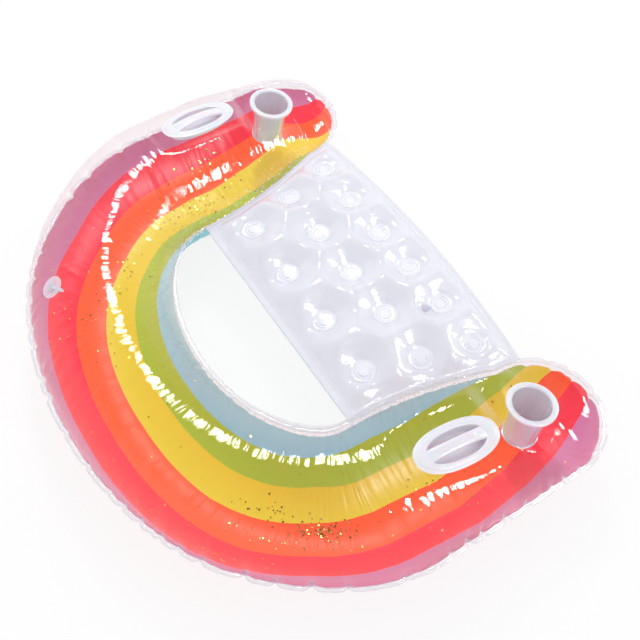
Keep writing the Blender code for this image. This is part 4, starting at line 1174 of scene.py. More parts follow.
@dataclass
class CupHolder:
    """A cup holder: a moulded ring, a pleated film well and its floor disc."""

    seat: FilmSeat
    side: Side
    ring_radius: float = 0.0455
    ring_height: float = 0.0065
    ring_edge: float = 0.0022
    bore: float = 0.0350
    collar_wall: float = 0.0012
    collar_depth: float = 0.010
    inner_lip: tuple[tuple[float, float], ...] = (
        (0.0003, 0.0028), (0.0004, 0.0014), (0.0010, 0.0006), (0.0018, 0.0004), (0.0026, 0.0007), (0.0031, 0.0006),
    )
    bead_place: float = 0.0064
    bead_half_width: float = 0.0041
    bead_height: float = 0.0017
    bead_steps: int = 8
    well_wall: float = 0.0006
    well_depth: float = 0.086
    well_foot: float = 0.031
    well_lip: float = 0.0015
    floor_thickness: float = 0.0008
    floor_rim: float = 0.0018
    floor_dip: float = 0.0001
    pleats: int = 8
    pleat_depth: float = 0.075
    well_wander: float = 0.010
    well_rows: int = 30
    well_columns: int = 128
    steps: int = 96

    def ring(self, finish: Finish) -> Obj:
        """Make the ring: a rounded flange with a stepped inner lip over a collar."""
        top, bore, outer = self.ring_height, self.bore, self.ring_radius
        collar = bore + self.collar_wall
        profile = [(bore + out, top - down) for out, down in self.inner_lip]
        for i in range(self.bead_steps + 1):
            turn = pi * (0.86 - 0.92 * i / self.bead_steps)
            profile.append((bore + self.bead_place + self.bead_half_width * cos(turn),
                            top - self.bead_height + self.bead_height * sin(turn)))
        profile += [(outer, top - 0.0035), (outer - 0.0001, 0.0015), (outer - 0.0008, 0.0002), (outer - 0.002, 0.0),
                    (collar, 0.0), (collar, -self.collar_depth), (bore, -self.collar_depth), (bore, 0.0)]
        return self.place("cup_lip", lathe(profile, self.steps), finish, "white_moulding", "cup_ring")

    def well_radius(self, angle: Array, share: Array) -> Array:
        """Give the well's radius as a factor: folds draw the film in towards the floor."""
        wander = 0.35 * np.sin(2 * angle + 1.3) + 0.22 * np.sin(3 * angle + 0.4 + self.side.value)
        fold = 1.0 - np.abs(np.sin(self.pleats * (angle + 0.12 * wander) / 2 + 0.3)) ** 0.8
        drift = self.well_wander * np.sin(3 * angle + 4 * share) * share
        return 1.0 - self.pleat_depth * fold * smooth_step(share * 1.15) - drift

    def well(self, finish: Finish) -> Obj:
        """Make the film well with its folds."""
        top_z = self.ring_height - self.ring_edge - self.well_lip
        foot_z = top_z - self.well_depth
        share, angle = np.meshgrid(
            np.linspace(0.0, 1.0, self.well_rows), np.arange(self.well_columns) * 2 * pi / self.well_columns,
            indexing="ij",
        )
        top_radius = self.bore - FIT_GAP
        radius = (top_radius + (self.well_foot - top_radius) * share) * self.well_radius(angle, share)
        rings = np.stack([radius * np.cos(angle), radius * np.sin(angle), top_z + (foot_z - top_z) * share], -1)
        return self.place("cup_pocket", loft(rings, capped=False), finish, "milky_film", "cup_well", self.well_wall)

    def floor(self, finish: Finish) -> Obj:
        """Make the floor disc with its welded rim."""
        top = self.ring_height - self.ring_edge - self.well_lip - self.well_depth - FIT_GAP
        bottom = top - self.floor_thickness
        rim = self.well_foot + self.floor_rim
        profile = [(0.0, top), (0.018, top - self.floor_dip), (0.024, top), (rim - 0.0006, top), (rim, top - 0.0004),
                   (rim - 0.0006, bottom), (0.018, bottom - self.floor_dip), (0.0, bottom)]
        return self.place("cup_base", lathe(profile, self.steps), finish, "milky_film", "cup_floor")

    def place(self, part: str, shape: tuple[Array, Faces], finish: Finish, slot: str, node: str,
              thickness: float = 0.0) -> Obj:
        """Put a part of the cup holder in its seat.

        Args:
            part: The last words of the piece's name.
            shape: Its points in the seat's frame, and its faces.
            finish: Its finish.
            slot: The record's material slot.
            node: The last words of the node that it stands for.
            thickness: Thickness of an open film.

        Returns:
            The piece.
        """
        obj = mesh_object(f"{self.side.label}_{part}", *shape)
        weld_points(obj, face_normals=thickness == 0)
        obj.data.transform(self.seat.matrix(self.side))
        if thickness > 0:
            thicken(obj, thickness)
            bake_modifiers(obj)
        polish(obj, 50)
        settle(obj, finish, slot, FLOAT_BODY, f"{self.side.label}_{node}")
        return obj

    def build(self, finishes: dict[str, Finish]) -> list[Obj]:
        """Make the cup holder's three pieces."""
        return [self.ring(finishes["white"]), self.well(finishes["well"]), self.floor(finishes["well"])]


@dataclass
class GrabHandle:
    """A grab handle: one moulding with a stepped rim, a finger dish and an arched grip."""

    seat: FilmSeat
    side: Side
    length: float = 0.160
    width: float = 0.080
    flange: float = 0.0022
    step: float = 0.0016
    step_inset: float = 0.007
    dish_length: float = 0.112
    dish_width: float = 0.052
    dish_depth: float = 0.016
    draft: float = 0.003
    end_wall: float = 0.009
    side_wall: float = 0.0022
    dish_floor: float = 0.002
    grip_thickness: float = 0.0085
    grip_width: float = 0.0205
    grip_top: float = 0.0105
    foot_drop: float = 0.003
    embed: float = 0.004
    grip_power: float = 2.6
    grip_section_power: float = 2.8
    grip_flare: float = 0.22
    grip_rows: int = 65
    grip_columns: int = 28
    dimple: float = 0.0019
    dimple_place: float = 0.62
    dimple_size: tuple[float, float] = (0.0024, 0.0026)
    groove: float = 0.0005
    groove_width: float = 0.0045
    oval_power: float = 2.3
    count: int = 112

    def base_rings(self) -> list[tuple[float, float, float]]:
        """List the base's levels as half width, half length and height, from the dish floor round to the bowl."""
        depth, draft, flange, top = self.dish_depth, self.draft, self.flange, self.flange + self.step
        rim = self.width / 2, self.length / 2
        dish = self.dish_width / 2, self.dish_length / 2
        step = rim[0] - self.step_inset, rim[1] - self.step_inset
        bowl = dish[0] + self.side_wall, dish[1] + self.end_wall
        wall = 5
        levels = [(dish, -draft - 0.0006, -depth + 0.0005), (dish, -draft + 0.0003, -depth + 0.0020)]
        levels += [(dish, -draft * (1 - i / wall), -depth + (depth + top - 0.0014) * i / wall)
                   for i in range(1, wall + 1)]
        levels += [
            (dish, 0.0004, top - 0.0004), (dish, 0.0014, top), (step, -0.0020, top), (step, -0.0008, top - 0.0003),
            (step, 0.0, top - 0.0009), (step, 0.0005, flange + 0.0002), (step, 0.0013, flange),
            (rim, -0.0012, flange), (rim, -0.0003, flange - 0.0005), (rim, 0.0, flange / 2), (rim, -0.0005, 0.0001),
            (rim, -0.0016, 0.0), (bowl, 0.0, 0.0), (bowl, -0.4 * draft, -0.5 * depth),
            (bowl, -draft, -depth - self.dish_floor),
        ]
        floor = [(share * (dish[0] - draft - 0.002), share * (dish[1] - draft - 0.002), -depth)
                 for share in (0.55, 0.8, 1.0)]
        return floor + [(half[0] + grow, half[1] + grow, z) for half, grow, z in levels]

    def base(self) -> Obj:
        """Make the base by lofting its levels."""
        rings = []
        for half_width, half_length, z in self.base_rings():
            x, y = oval(self.count, half_width, half_length, self.oval_power)
            rings.append(np.stack([x, y, 0 * x + z], -1))
        return mesh_object(f"{self.side.label}_grab_handle", *loft(np.stack(rings)))

    def grip_line(self, share: Array) -> Array:
        """Give the height of the grip's middle line at shares of its half length."""
        top = self.grip_top - self.grip_thickness / 2
        return top - (top + self.foot_drop) * np.abs(share) ** self.grip_power

    def grip(self) -> Obj:
        """Make the grip: a flat bar with round edges on an arch, with a groove along it and a dimple at its front."""
        half = self.dish_length / 2 + self.embed
        shares = np.linspace(-1.0, 1.0, self.grip_rows)
        line = self.grip_line(shares)
        tilts = np.arctan(np.gradient(line, shares * half))
        rings = []
        for share, level, tilt in zip(shares, line, tilts):
            flare = 1.0 + self.grip_flare * abs(share) ** 4
            x, up = oval(self.grip_columns, self.grip_width / 2 * flare, self.grip_thickness / 2,
                         self.grip_section_power)
            y = share * half
            off = (x / self.dimple_size[0]) ** 2 + ((y + self.dimple_place * half) / self.dimple_size[1]) ** 2
            groove = self.groove * np.exp(-(x / self.groove_width) ** 2) * smooth_step((1 - abs(share)) * 4)
            up = up - (self.dimple * np.exp(-off) + groove) * (up > 0)
            rings.append(np.stack([x, y - up * sin(tilt), level + up * cos(tilt)], -1))
        obj = mesh_object(f"{self.side.label}_grip_bar", *loft(np.stack(rings), flip=True))
        weld_points(obj, face_normals=True)
        return obj

    def build(self, finishes: dict[str, Finish]) -> list[Obj]:
        """Make the handle."""
        base, grip = self.base(), self.grip()
        weld_points(base, face_normals=True)
        combine(base, grip, "UNION", "EXACT")
        base.data.transform(self.seat.matrix(self.side))
        polish(base, 38)
        settle(base, finishes["white"], "white_moulding", FLOAT_BODY, f"{self.side.label}_handle")
        return [base]


@dataclass
class Valve:
    """One push-in valve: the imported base, stem, flap and stopper, with an arched strap."""

    prefix: str
    matrix: Matrix
    lug_end: float
    lug_top: float
    cap_radius: float
    cap_bottom: float
    strap_width: float
    strap: float
    rise: float
    bevel: float = 0.0002
    spans: int = 16
    bend_inset: float = 0.08

    def strap_skin(self, start: float, end: float) -> tuple[Array, Faces]:
        """Make a stretch of the strap between two shares of its length.

        Args:
            start: First share.
            end: Last share.

        Returns:
            Points and faces.
        """
        share = np.linspace(start, end, self.spans + 1)
        x0, x1 = self.lug_end - self.strap_width / 2, self.cap_radius + FIT_GAP
        x = x0 + (x1 - x0) * share
        climb = self.cap_bottom - self.lug_top - FIT_GAP
        z = self.lug_top + FIT_GAP + climb * share + self.rise * np.sin(pi * share)
        half, thick, flat = self.strap_width / 2, self.strap, self.strap_width / 2 - self.bevel
        section = [(-flat, 0.0), (flat, 0.0), (half, thick / 2), (flat, thick), (-flat, thick), (-half, thick / 2)]
        return loft(np.array([[[xi, y, zi + dz] for y, dz in section] for xi, zi in zip(x, z)]), flip=True)

    def build(self, finishes: dict[str, Finish]) -> list[Obj]:
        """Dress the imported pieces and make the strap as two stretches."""
        finish = finishes["vinyl"]
        for part in ("base", "stem", "stopper", "flap"):
            node = frame["nodes"][f"{self.prefix}_valve_{part}"]
            dress(node, finish)
            node.data.set_sharp_from_angle(angle=radians(40))
        made = []
        for i, part in enumerate(("root", "end")):
            points, faces = self.strap_skin(i / 2, (i + 1) / 2)
            obj = mesh_object(f"{self.prefix}_strap_{part}", points, faces)
            weld_points(obj, face_normals=True)
            obj.data.transform(self.matrix)
            polish(obj, 40)
            dress(obj, finish)
            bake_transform(obj)
            if i == 0:
                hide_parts(f"{self.prefix}_valve_strap")
            made.append(obj)
        return made


@dataclass
class GoldFlecks:
    """Loose gold flecks that cling to the inner faces of the tube's films."""

    films: TubeFilms
    count: int = 520
    radius: float = 0.0019
    thickness: float = 0.00012
    clearance: float = 0.0016
    tilt: float = 0.10
    low_share: float = 0.8
    span: float = 0.86
    across: tuple[float, float] = (0.16, 0.84)
    sizes: tuple[float, float] = (0.55, 1.15)
    seed: int = 7
    clusters: tuple[tuple[float, float, float, float, int], ...] = (
        (-0.42, 0.49, 0.028, 0.026, 95), (-0.36, 0.55, 0.075, 0.022, 40), (-0.32, 0.43, 0.045, 0.025, 22),
        (0.24, 0.60, 0.035, 0.070, 30), (0.37, 0.50, 0.030, 0.025, 16), (0.60, 0.56, 0.060, 0.055, 70),
        (0.66, 0.70, 0.040, 0.050, 35), (-0.64, 0.46, 0.030, 0.025, 16), (-0.29, 0.78, 0.035, 0.04, 20),
    )

    def carriers(self) -> Obj:
        """Make the points that carry a fleck, with the way each one lies."""
        rng = np.random.default_rng(self.seed)
        form = self.films.form
        patch = form.patches()[0]
        places = []
        for along, share, long, wide, count in self.clusters:
            places += [(rng.normal(along, long), rng.normal(share, wide), Sheet.BOTTOM) for _ in range(count)]
        while len(places) < self.count:
            sheet = Sheet.BOTTOM if rng.random() < self.low_share else Sheet.TOP
            places.append((rng.uniform(-self.span, self.span), rng.uniform(*self.across), sheet))
        points, normals = [], []
        grids = {sheet: self.films.positions(patch, sheet).reshape(*patch.angle.shape, 3) for sheet in Sheet}
        line = patch.along[:, 0]
        for along, share, sheet in places:
            row = int(np.clip(np.searchsorted(line, along), 1, len(line) - 2))
            column = int(np.clip(round(share * form.section_spans), 2, form.section_spans - 2)) + form.flange_steps
            grid = grids[sheet]
            jitter = rng.uniform(0.0, 1.0, 2)
            here, down, right = grid[row, column], grid[row + 1, column], grid[row, column + 1]
            spot = here + (down - here) * jitter[0] + (right - here) * jitter[1]
            normal = np.cross(down - grid[row - 1, column], right - grid[row, column - 1])
            inward = -sheet.value * normal / max(np.linalg.norm(normal), MERGE)
            points.append(spot + inward * self.clearance)
            normals.append(inward + rng.normal(0, self.tilt, 3))
        obj = mesh_object("gold_flecks", np.array(points), [])
        layer = obj.data.attributes.new("lie", "FLOAT_VECTOR", "POINT")
        layer.data.foreach_set("vector", np.array(normals, np.float32).ravel())
        return obj

    def plates(self, net: Net, entry: Any) -> dict[str, Any]:
        """Build a six-sided plate, and give what the node that places it takes."""
        plate = net.node("GeometryNodeMeshCylinder", {"Vertices": 6, "Radius": entry["Fleck Radius"],
                                                      "Depth": entry["Fleck Thickness"]})
        lie = net.node("GeometryNodeInputNamedAttribute", {"Name": "lie"}, data_type="FLOAT_VECTOR")
        turn = net.node("FunctionNodeAlignRotationToVector", {"Vector": lie.outputs["Attribute"]}, axis="Z")
        spin, size = (
            net.node("FunctionNodeRandomValue", {"Seed": entry["Seed"], 2: low, 3: high}, data_type="FLOAT").outputs[1]
            for low, high in ((0.0, 6.28), self.sizes)
        )
        about = net.node("FunctionNodeAxisAngleToRotation", {"Angle": spin})
        both = net.node("FunctionNodeRotateRotation", {"Rotation": turn, "Rotate By": about}, rotation_space="LOCAL")
        return {"Instance": plate, "Rotation": both, "Scale": size}

    def build(self, finishes: dict[str, Finish]) -> list[Obj]:
        """Put a small six-sided plate on each carrier with a node tree."""
        obj = self.carriers()
        values = {"Fleck Radius": self.radius, "Fleck Thickness": self.thickness, "Seed": self.seed}
        place_copies(obj, "gold_flecks", values, finishes["gold"], self.plates)
        settle(obj, finishes["gold"], "clear_film", FLOAT_BODY)
        return [obj]


@dataclass(frozen=True)
class Net:
    """A node tree with short ways to add its nodes. A node given as a value stands for its first output."""

    tree: bpy.types.NodeTree

    def node(self, kind: str, inputs: dict[str | int, Any] | None = None, **settings: Any) -> bpy.types.Node:
        """Add a node, set its options, and set or link its inputs.

        Args:
            kind: The node's type.
            inputs: A value, a node or an output for each input by name or number.
            settings: The node's own options.

        Returns:
            The new node.
        """
        node = self.tree.nodes.new(kind)
        for key, value in settings.items():
            setattr(node, key, value)
        for key, value in (inputs or {}).items():
            if isinstance(value, bpy.types.Node):
                value = value.outputs[0]
            if isinstance(value, Socket):
                self.tree.links.new(value, node.inputs[key])
            else:
                node.inputs[key].default_value = value
        return node

    def maths(self, operation: str, *values: Any, clamp: bool = False) -> Socket:
        """Add a Math node and give its result."""
        return self.node("ShaderNodeMath", dict(enumerate(values)), operation=operation, use_clamp=clamp).outputs[0]

    def remap(self, value: Any, low: float = 0.0, high: float = 1.0, start: float = 0.0, end: float = 1.0,
              **settings: Any) -> Socket:
        """Turn the values from low to high into those from start to end, held at both ends."""
        ends = {"Value": value, "From Min": low, "From Max": high, "To Min": start, "To Max": end}
        return self.node("ShaderNodeMapRange", ends, **settings).outputs[0]

    def stripe(self, distance: Any, width: float) -> Socket:
        """Build a mark that is 1 on a line and fades to 0 at a width to both sides."""
        off = self.maths("DIVIDE", self.maths("ABSOLUTE", distance), width)
        return self.maths("SUBTRACT", 1.0, off, clamp=True)

    def axes(self, vector: Any) -> Any:
        """Split a vector and give its three outputs."""
        return self.node("ShaderNodeSeparateXYZ", {0: vector}).outputs

    def uv(self, name: str) -> Socket:
        """Read a UV map."""
        return self.node("ShaderNodeUVMap", uv_map=name).outputs[0]

    def spot(self) -> Socket:
        """Give the place on the object."""
        return self.node("ShaderNodeTexCoord").outputs["Object"]

    def noise(self, vector: Any, scale: Any, detail: float, **inputs: float) -> Socket:
        """Add a noise texture and give its value."""
        inputs = {"Vector": vector, "Scale": scale, "Detail": detail, **inputs}
        return self.node("ShaderNodeTexNoise", inputs).outputs[0]

    def bump(self, strength: float, distance: float, height: Any) -> Socket:
        """Turn heights into a bumped normal."""
        return self.node("ShaderNodeBump", {"Strength": strength, "Distance": distance, "Height": height}).outputs[0]

    def mix_shader(self, share: Any, first: Any, second: Any) -> Socket:
        """Mix two shaders."""
        return self.node("ShaderNodeMixShader", {0: share, 1: first, 2: second}).outputs[0]

    def mix_colour(self, share: Any, first: Any, second: Any, **settings: Any) -> Socket:
        """Mix two colours."""
        return self.node("ShaderNodeMix", {"Factor": share, 6: first, 7: second}, data_type="RGBA",
                         **settings).outputs[2]

    def creases(self, place: Any, spacing: float, length: float, wander: float = 0.05) -> Any:
        """Use the shared creases and give their outputs."""
        inputs = {"Vector": place, "Spacing": spacing, "Length": length, "Wander": wander}
        return self.node("ShaderNodeGroup", inputs, node_tree=crease_group()).outputs

    def swells(self, size: float) -> Any:
        """Use the shared swells over the object and give their outputs."""
        return self.node("ShaderNodeGroup", {"Vector": self.spot(), "Size": size}, node_tree=swell_group()).outputs


def open_group(name: str, kind: str, inputs: dict[str, str], outputs: dict[str, str]) -> tuple[Net, dict[str, str]]:
    """Start a node group with named inputs and outputs.

    Args:
        name: The group's name.
        kind: The type of its tree.
        inputs: The type of each input by name.
        outputs: The type of each output by name.

    Returns:
        The group's tree, and the identifier of each input by name.
    """
    tree = bpy.data.node_groups.new(name, kind)
    sockets = {
        (way, key): tree.interface.new_socket(key, in_out=way, socket_type=f"NodeSocket{what}")
        for way, ends in (("INPUT", inputs), ("OUTPUT", outputs)) for key, what in ends.items()
    }
    return Net(tree), {key: sockets["INPUT", key].identifier for key in inputs}


def place_copies(obj: Obj, name: str, values: dict[str, float | int], finish: Finish,
                 shape: Callable[[Net, Any], dict[str, Any]]) -> None:
    """Put a copy of a shape on each point of an object with a node tree.

    Args:
        obj: The object, which becomes the copies.
        name: The tree's name.
        values: The tree's own inputs by name.
        finish: The finish of the copies.
        shape: Builds the shape in the tree, and gives what the node that places it takes.
    """
    kinds = {key: "Int" if isinstance(value, int) else "Float" for key, value in values.items()}
    net, identifiers = open_group(name, "GeometryNodeTree", {"Geometry": "Geometry", **kinds},
                                  {"Geometry": "Geometry"})
    entry = net.node("NodeGroupInput").outputs
    placed = net.node("GeometryNodeInstanceOnPoints", {"Points": entry["Geometry"], **shape(net, entry)})
    real = net.node("GeometryNodeRealizeInstances", {"Geometry": placed})
    dressed = net.node("GeometryNodeSetMaterial", {"Geometry": real, "Material": finish.material()})
    net.node("NodeGroupOutput", {"Geometry": dressed})
    modifier = add_modifier(obj, name, "NODES", node_group=net.tree)
    for key, value in values.items():
        modifier[identifiers[key]] = value
    bake_modifiers(obj)


@cache
def crease_group() -> bpy.types.NodeTree:
    """Build the shared effect of sharp creases that cross a film.

    Returns:
        A group with the inputs Vector, Spacing, Length and Wander, and the outputs Height and Kinks.
    """
    net, _ = open_group("film_creases", "ShaderNodeTree", {
        "Vector": "Vector", "Spacing": "Float", "Length": "Float", "Wander": "Float",
    }, {"Height": "Float", "Kinks": "Float"})
    entry = net.node("NodeGroupInput").outputs
    split = net.axes(entry["Vector"])
    drift = net.maths("SUBTRACT", net.noise(entry["Vector"], 14.0, 1.0), 0.5)
    moved = net.maths("ADD", split[0], net.maths("MULTIPLY", drift, entry["Wander"]))
    across = net.maths("DIVIDE", moved, entry["Spacing"])
    down = net.maths("DIVIDE", split[1], entry["Length"])
    place = net.node("ShaderNodeCombineXYZ", {0: across, 1: down, 2: split[2]})
    noise = net.noise(place, 1.0, 3.0, Roughness=0.55)
    ridge = net.maths("ABSOLUTE", net.maths("MULTIPLY_ADD", noise, 2.0, -1.0))
    height = net.maths("POWER", net.maths("SUBTRACT", 1.0, ridge, clamp=True), 4.0)
    net.node("NodeGroupOutput", {"Height": height, "Kinks": ridge})
    return net.tree


@cache
def swell_group() -> bpy.types.NodeTree:
    """Build the shared effect of soft uneven swells over a surface.

    Returns:
        A group with the inputs Vector and Size, and the outputs Height and Mask.
    """
    net, _ = open_group("soft_swells", "ShaderNodeTree", {"Vector": "Vector", "Size": "Float"},
                        {"Height": "Float", "Mask": "Float"})
    entry = net.node("NodeGroupInput").outputs
    scale = net.maths("DIVIDE", 1.0, entry["Size"])
    height = net.noise(entry["Vector"], scale, 2.0)
    fine = net.noise(entry["Vector"], net.maths("MULTIPLY", scale, 7.0), 2.0)
    net.node("NodeGroupOutput", {"Height": height, "Mask": net.remap(fine, 0.3, 0.7)})
    return net.tree


def fresh_net(owner: bpy.types.Material | bpy.types.World) -> Net:
    """Give a material or a world an empty node tree."""
    owner.use_nodes = True
    owner.node_tree.nodes.clear()
    return Net(owner.node_tree)


def linear(red: int, green: int, blue: int) -> Colour:
    """Turn a screen colour into the linear one that a shader takes."""
    parts = [c / 255 for c in (red, green, blue)]
    return (*[p / 12.92 if p <= 0.04045 else ((p + 0.055) / 1.055) ** 2.4 for p in parts], 1.0)


@dataclass(frozen=True)
class Finish:
    """The base of every finish: it builds its material once and gives it to any piece."""

    name: str
    most_gloss: float = 0.40
    gloss_ior: float = 1.48

    def material(self) -> bpy.types.Material:
        """Give the finish's material."""
        material = bpy.data.materials.get(self.name)
        if material is None:
            material = bpy.data.materials.new(self.name)
            net = fresh_net(material)
            net.node("ShaderNodeOutputMaterial", {"Surface": self.shade(net)})
        return material

    def shade(self, net: Net) -> Socket:
        """Build the shader and give its output."""
        raise NotImplementedError

    def glossed(self, net: Net, body: Socket, bump: Socket, gain: float, roughness: float) -> Socket:
        """Put a clear film's mirror gloss over a shader, on the side that faces out.

        Args:
            net: The material's tree.
            body: The shader under the gloss.
            bump: The normal.
            gain: How much stronger than one face of the film the gloss is.
            roughness: Its roughness.

        Returns:
            The shader's output.
        """
        fresnel = net.node("ShaderNodeFresnel", {"IOR": self.gloss_ior, "Normal": bump})
        facing = net.maths("SUBTRACT", 1.0, net.node("ShaderNodeNewGeometry").outputs["Backfacing"])
        most = net.maths("MINIMUM", net.maths("MULTIPLY", fresnel, gain), self.most_gloss)
        mirror = net.node("ShaderNodeBsdfGlossy", {"Color": WHITE, "Roughness": roughness, "Normal": bump})
        return net.mix_shader(net.maths("MULTIPLY", most, facing), body, mirror)


@dataclass(frozen=True)
class ClearFilm(Finish):
    """Clear glossy vinyl film: see-through, with a faint haze, frosty ticks at the seams and a mirror gloss."""

    haze: float = 0.004
    edge_haze: float = 0.035
    edge_blend: float = 0.25
    seam_haze: float = 0.16
    frost: float = 0.35
    tint: Colour = (0.992, 0.988, 0.995, 1.0)
    colour: Colour = (0.93, 0.90, 0.97, 1.0)
    milk_roughness: float = 0.4
    spacing: float = 0.014
    length: float = 0.085
    crease: float = 0.0015
    ridge_share: float = 0.25
    swell_size: float = 0.045
    swell_gain: float = 1.2
    bump_strength: float = 0.7
    gain: float = 0.95
    roughness: float = 0.045
    weld_lines: tuple[tuple[float, float], ...] = ((0.0, 0.0011), (-0.0080, 0.0009))
    tick_scale: float = 330.0
    tick_stretch: tuple[float, float, float] = (1.0, 0.34, 1.0)
    tick_level: tuple[float, float] = (0.58, 0.68)
    tick_start: tuple[float, float] = (0.004, 0.009)
    tick_end: tuple[float, float] = (0.026, 0.046)
    tick_side: tuple[float, float] = (0.17, 0.12)

    def normal(self, net: Net) -> Socket:
        """Build the bumped normal from creases along the film and swells."""
        creases = net.creases(net.uv("film"), self.spacing, self.length)
        ridges = net.maths("MULTIPLY", creases["Height"], self.ridge_share)
        return self.bumped(net, net.maths("ADD", ridges, creases["Kinks"]))

    def bumped(self, net: Net, folds: Socket) -> Socket:
        """Add the swells to the creases and give the bumped normal."""
        swells = net.maths("MULTIPLY", net.swells(self.swell_size)["Height"], self.swell_gain)
        return net.bump(self.bump_strength, self.crease, net.maths("ADD", folds, swells))

    def seam_marks(self, net: Net) -> Socket:
        """Build the haze of the weld lines and the frosty ticks beside the inner seam."""
        place = net.uv("film")
        distance = net.axes(place)[1]
        lines = [net.stripe(net.maths("SUBTRACT", distance, level), width) for level, width in self.weld_lines]
        haze = net.maths("MULTIPLY", net.maths("MAXIMUM", *lines), self.seam_haze)
        ticks = net.node("ShaderNodeMapping", {"Vector": place, "Scale": self.tick_stretch})
        spots = net.remap(net.noise(ticks, self.tick_scale, 1.0), *self.tick_level)
        for value, low, high, start, end in (
            (distance, *self.tick_end, 1.0, 0.0), (net.axes(net.uv("print"))[0], *self.tick_side, 0.0, 1.0),
            (distance, *self.tick_start, 0.0, 1.0),
        ):
            spots = net.maths("MULTIPLY", spots, net.remap(value, low, high, start, end))
        return net.maths("ADD", haze, net.maths("MULTIPLY", spots, self.frost))

    def film(self, net: Net, normal: Socket, extra: Socket) -> Socket:
        """Mix the clear film and its haze, and put the gloss over them.

        Args:
            net: The material's tree.
            normal: The bumped normal.
            extra: Haze that is added in places.

        Returns:
            The shader's output.
        """
        clear = net.node("ShaderNodeBsdfTransparent", {"Color": self.tint})
        milk = net.node("ShaderNodeBsdfPrincipled", {
            "Base Color": self.colour, "Roughness": self.milk_roughness, "Normal": normal,
        })
        weight = net.node("ShaderNodeLayerWeight", {"Blend": self.edge_blend, "Normal": normal}).outputs["Facing"]
        haze = net.maths("MULTIPLY_ADD", weight, self.edge_haze, self.haze)
        body = net.mix_shader(net.maths("ADD", haze, extra, clamp=True), clear, milk)
        return self.glossed(net, body, normal, self.gain, self.roughness)

    def shade(self, net: Net) -> Socket:
        """Build the shader and give its output."""
        return self.film(net, self.normal(net), self.seam_marks(net))


@dataclass(frozen=True)
class MatFilm(ClearFilm):
    """The seat mat's film, milky with a lavender cast, and hazier and whiter where it is welded: partly the welds' own
    haze, partly a painted highlight of the flat weld discs.
    """

    haze: float = 0.58
    edge_haze: float = 0.10
    tint: Colour = (0.98, 0.98, 1.0, 1.0)
    colour: Colour = (0.91, 0.92, 1.0, 1.0)
    spacing: float = 0.016
    length: float = 0.05
    crease: float = 0.0005
    swell_size: float = 0.022
    swell_gain: float = 1.5
    bump_strength: float = 0.5
    gain: float = 1.2
    # White haze on the weld discs: partly their own haze, partly a painted highlight of the flat discs.
    weld_haze_and_highlight: float = 0.50
    weld_edge: float = 0.001
    rim_haze: float = 0.30
    rim_width: float = 0.0016
    edge_width: float = 0.0014

    def normal(self, net: Net) -> Socket:
        """Build the bumped normal from soft swells and fine creases."""
        return self.bumped(net, net.creases(net.spot(), self.spacing, self.length)["Height"])

    def shade(self, net: Net) -> Socket:
        """Build the shader and give its output."""
        weld, edge, _ = net.axes(net.uv("mat"))
        # The weld discs turn whiter here: partly their own haze, partly a painted highlight of the flat discs.
        welded = net.remap(weld, self.weld_edge, -self.weld_edge, 0.0, self.weld_haze_and_highlight)
        lines = net.maths("MAXIMUM", net.stripe(weld, self.rim_width), net.stripe(edge, self.edge_width))
        extra = net.maths("ADD", net.maths("MULTIPLY", lines, self.rim_haze), welded)
        return self.film(net, self.normal(net), extra)


@dataclass(frozen=True)
class PrintedFilm(ClearFilm):
    """Film with six printed colour bands that stop short of its seams."""

    bare_haze: float = 0.10
    glow_through: float = 0.30
    ink_edge: float = 0.0005
    ink_swell: float = 0.02
    ink_tone: tuple[float, float] = (0.97, 1.0)
    ink_roughness: tuple[float, float] = (0.34, 0.42)
    bands: tuple[tuple[int, int, int], ...] = (
        (164, 226, 234), (186, 216, 64), (238, 222, 60), (253, 106, 50), (249, 52, 78), (220, 136, 182),
    )

    def ink(self, net: Net, place: Socket, normal: Socket) -> Socket:
        """Build the bands, a little lighter and darker in places.

        Args:
            net: The material's tree.
            place: The place in the print, from 0 to 1.
            normal: The bumped normal.

        Returns:
            The shader's output.
        """
        ramp = net.node("ShaderNodeValToRGB", {0: place})
        ramp.color_ramp.interpolation = "CONSTANT"
        points = ramp.color_ramp.elements
        while len(points) < len(self.bands):
            points.new(1.0)
        for i, colour in enumerate(self.bands):
            points[i].position = i / len(self.bands)
            points[i].color = linear(*colour)
        mask = net.swells(self.ink_swell)["Mask"]
        tone = net.mix_colour(1.0, ramp, net.remap(mask, 0.0, 1.0, *self.ink_tone), blend_type="MULTIPLY")
        front = net.node("ShaderNodeBsdfPrincipled", {
            "Base Color": tone, "Roughness": net.remap(mask, 0.0, 1.0, *self.ink_roughness), "Normal": normal,
            "Specular IOR Level": 0.35, "Coat Weight": 0.10, "Coat Roughness": 0.30,
        })
        dim = net.mix_colour(1.0 - self.glow_through, tone, BLACK)
        behind = net.node("ShaderNodeBsdfTranslucent", {"Color": dim, "Normal": normal})
        return net.node("ShaderNodeAddShader", {0: front, 1: behind}).outputs[0]

    def shade(self, net: Net) -> Socket:
        """Build the shader and give its output."""
        normal = self.normal(net)
        place, inside, _ = net.axes(net.uv("print"))
        bare = self.film(net, normal, net.maths("ADD", self.seam_marks(net), self.bare_haze))
        return net.mix_shader(net.remap(inside, -self.ink_edge, self.ink_edge), bare, self.ink(net, place, normal))


@dataclass(frozen=True)
class Moulding(Finish):
    """Satin moulded vinyl with a fine grain."""

    colour: Colour = (0.86, 0.86, 0.94, 1.0)
    shadow: float = 0.97
    roughness: tuple[float, float] = (0.30, 0.39)
    grain: float = 0.00012
    grain_size: float = 0.012

    def shade(self, net: Net) -> Socket:
        """Build the shader and give its output."""
        swells = net.swells(self.grain_size)
        darker = tuple(c * self.shadow for c in self.colour[:3]) + (1.0,)
        return net.node("ShaderNodeBsdfPrincipled", {
            "Base Color": net.mix_colour(swells["Mask"], self.colour, darker),
            "Roughness": net.remap(swells["Mask"], 0.0, 1.0, *self.roughness),
            "Normal": net.bump(0.5, self.grain, swells["Height"]),
            "Subsurface Weight": 0.6, "Subsurface Scale": 0.010, "Coat Weight": 0.25, "Coat Roughness": 0.15,
        }).outputs[0]


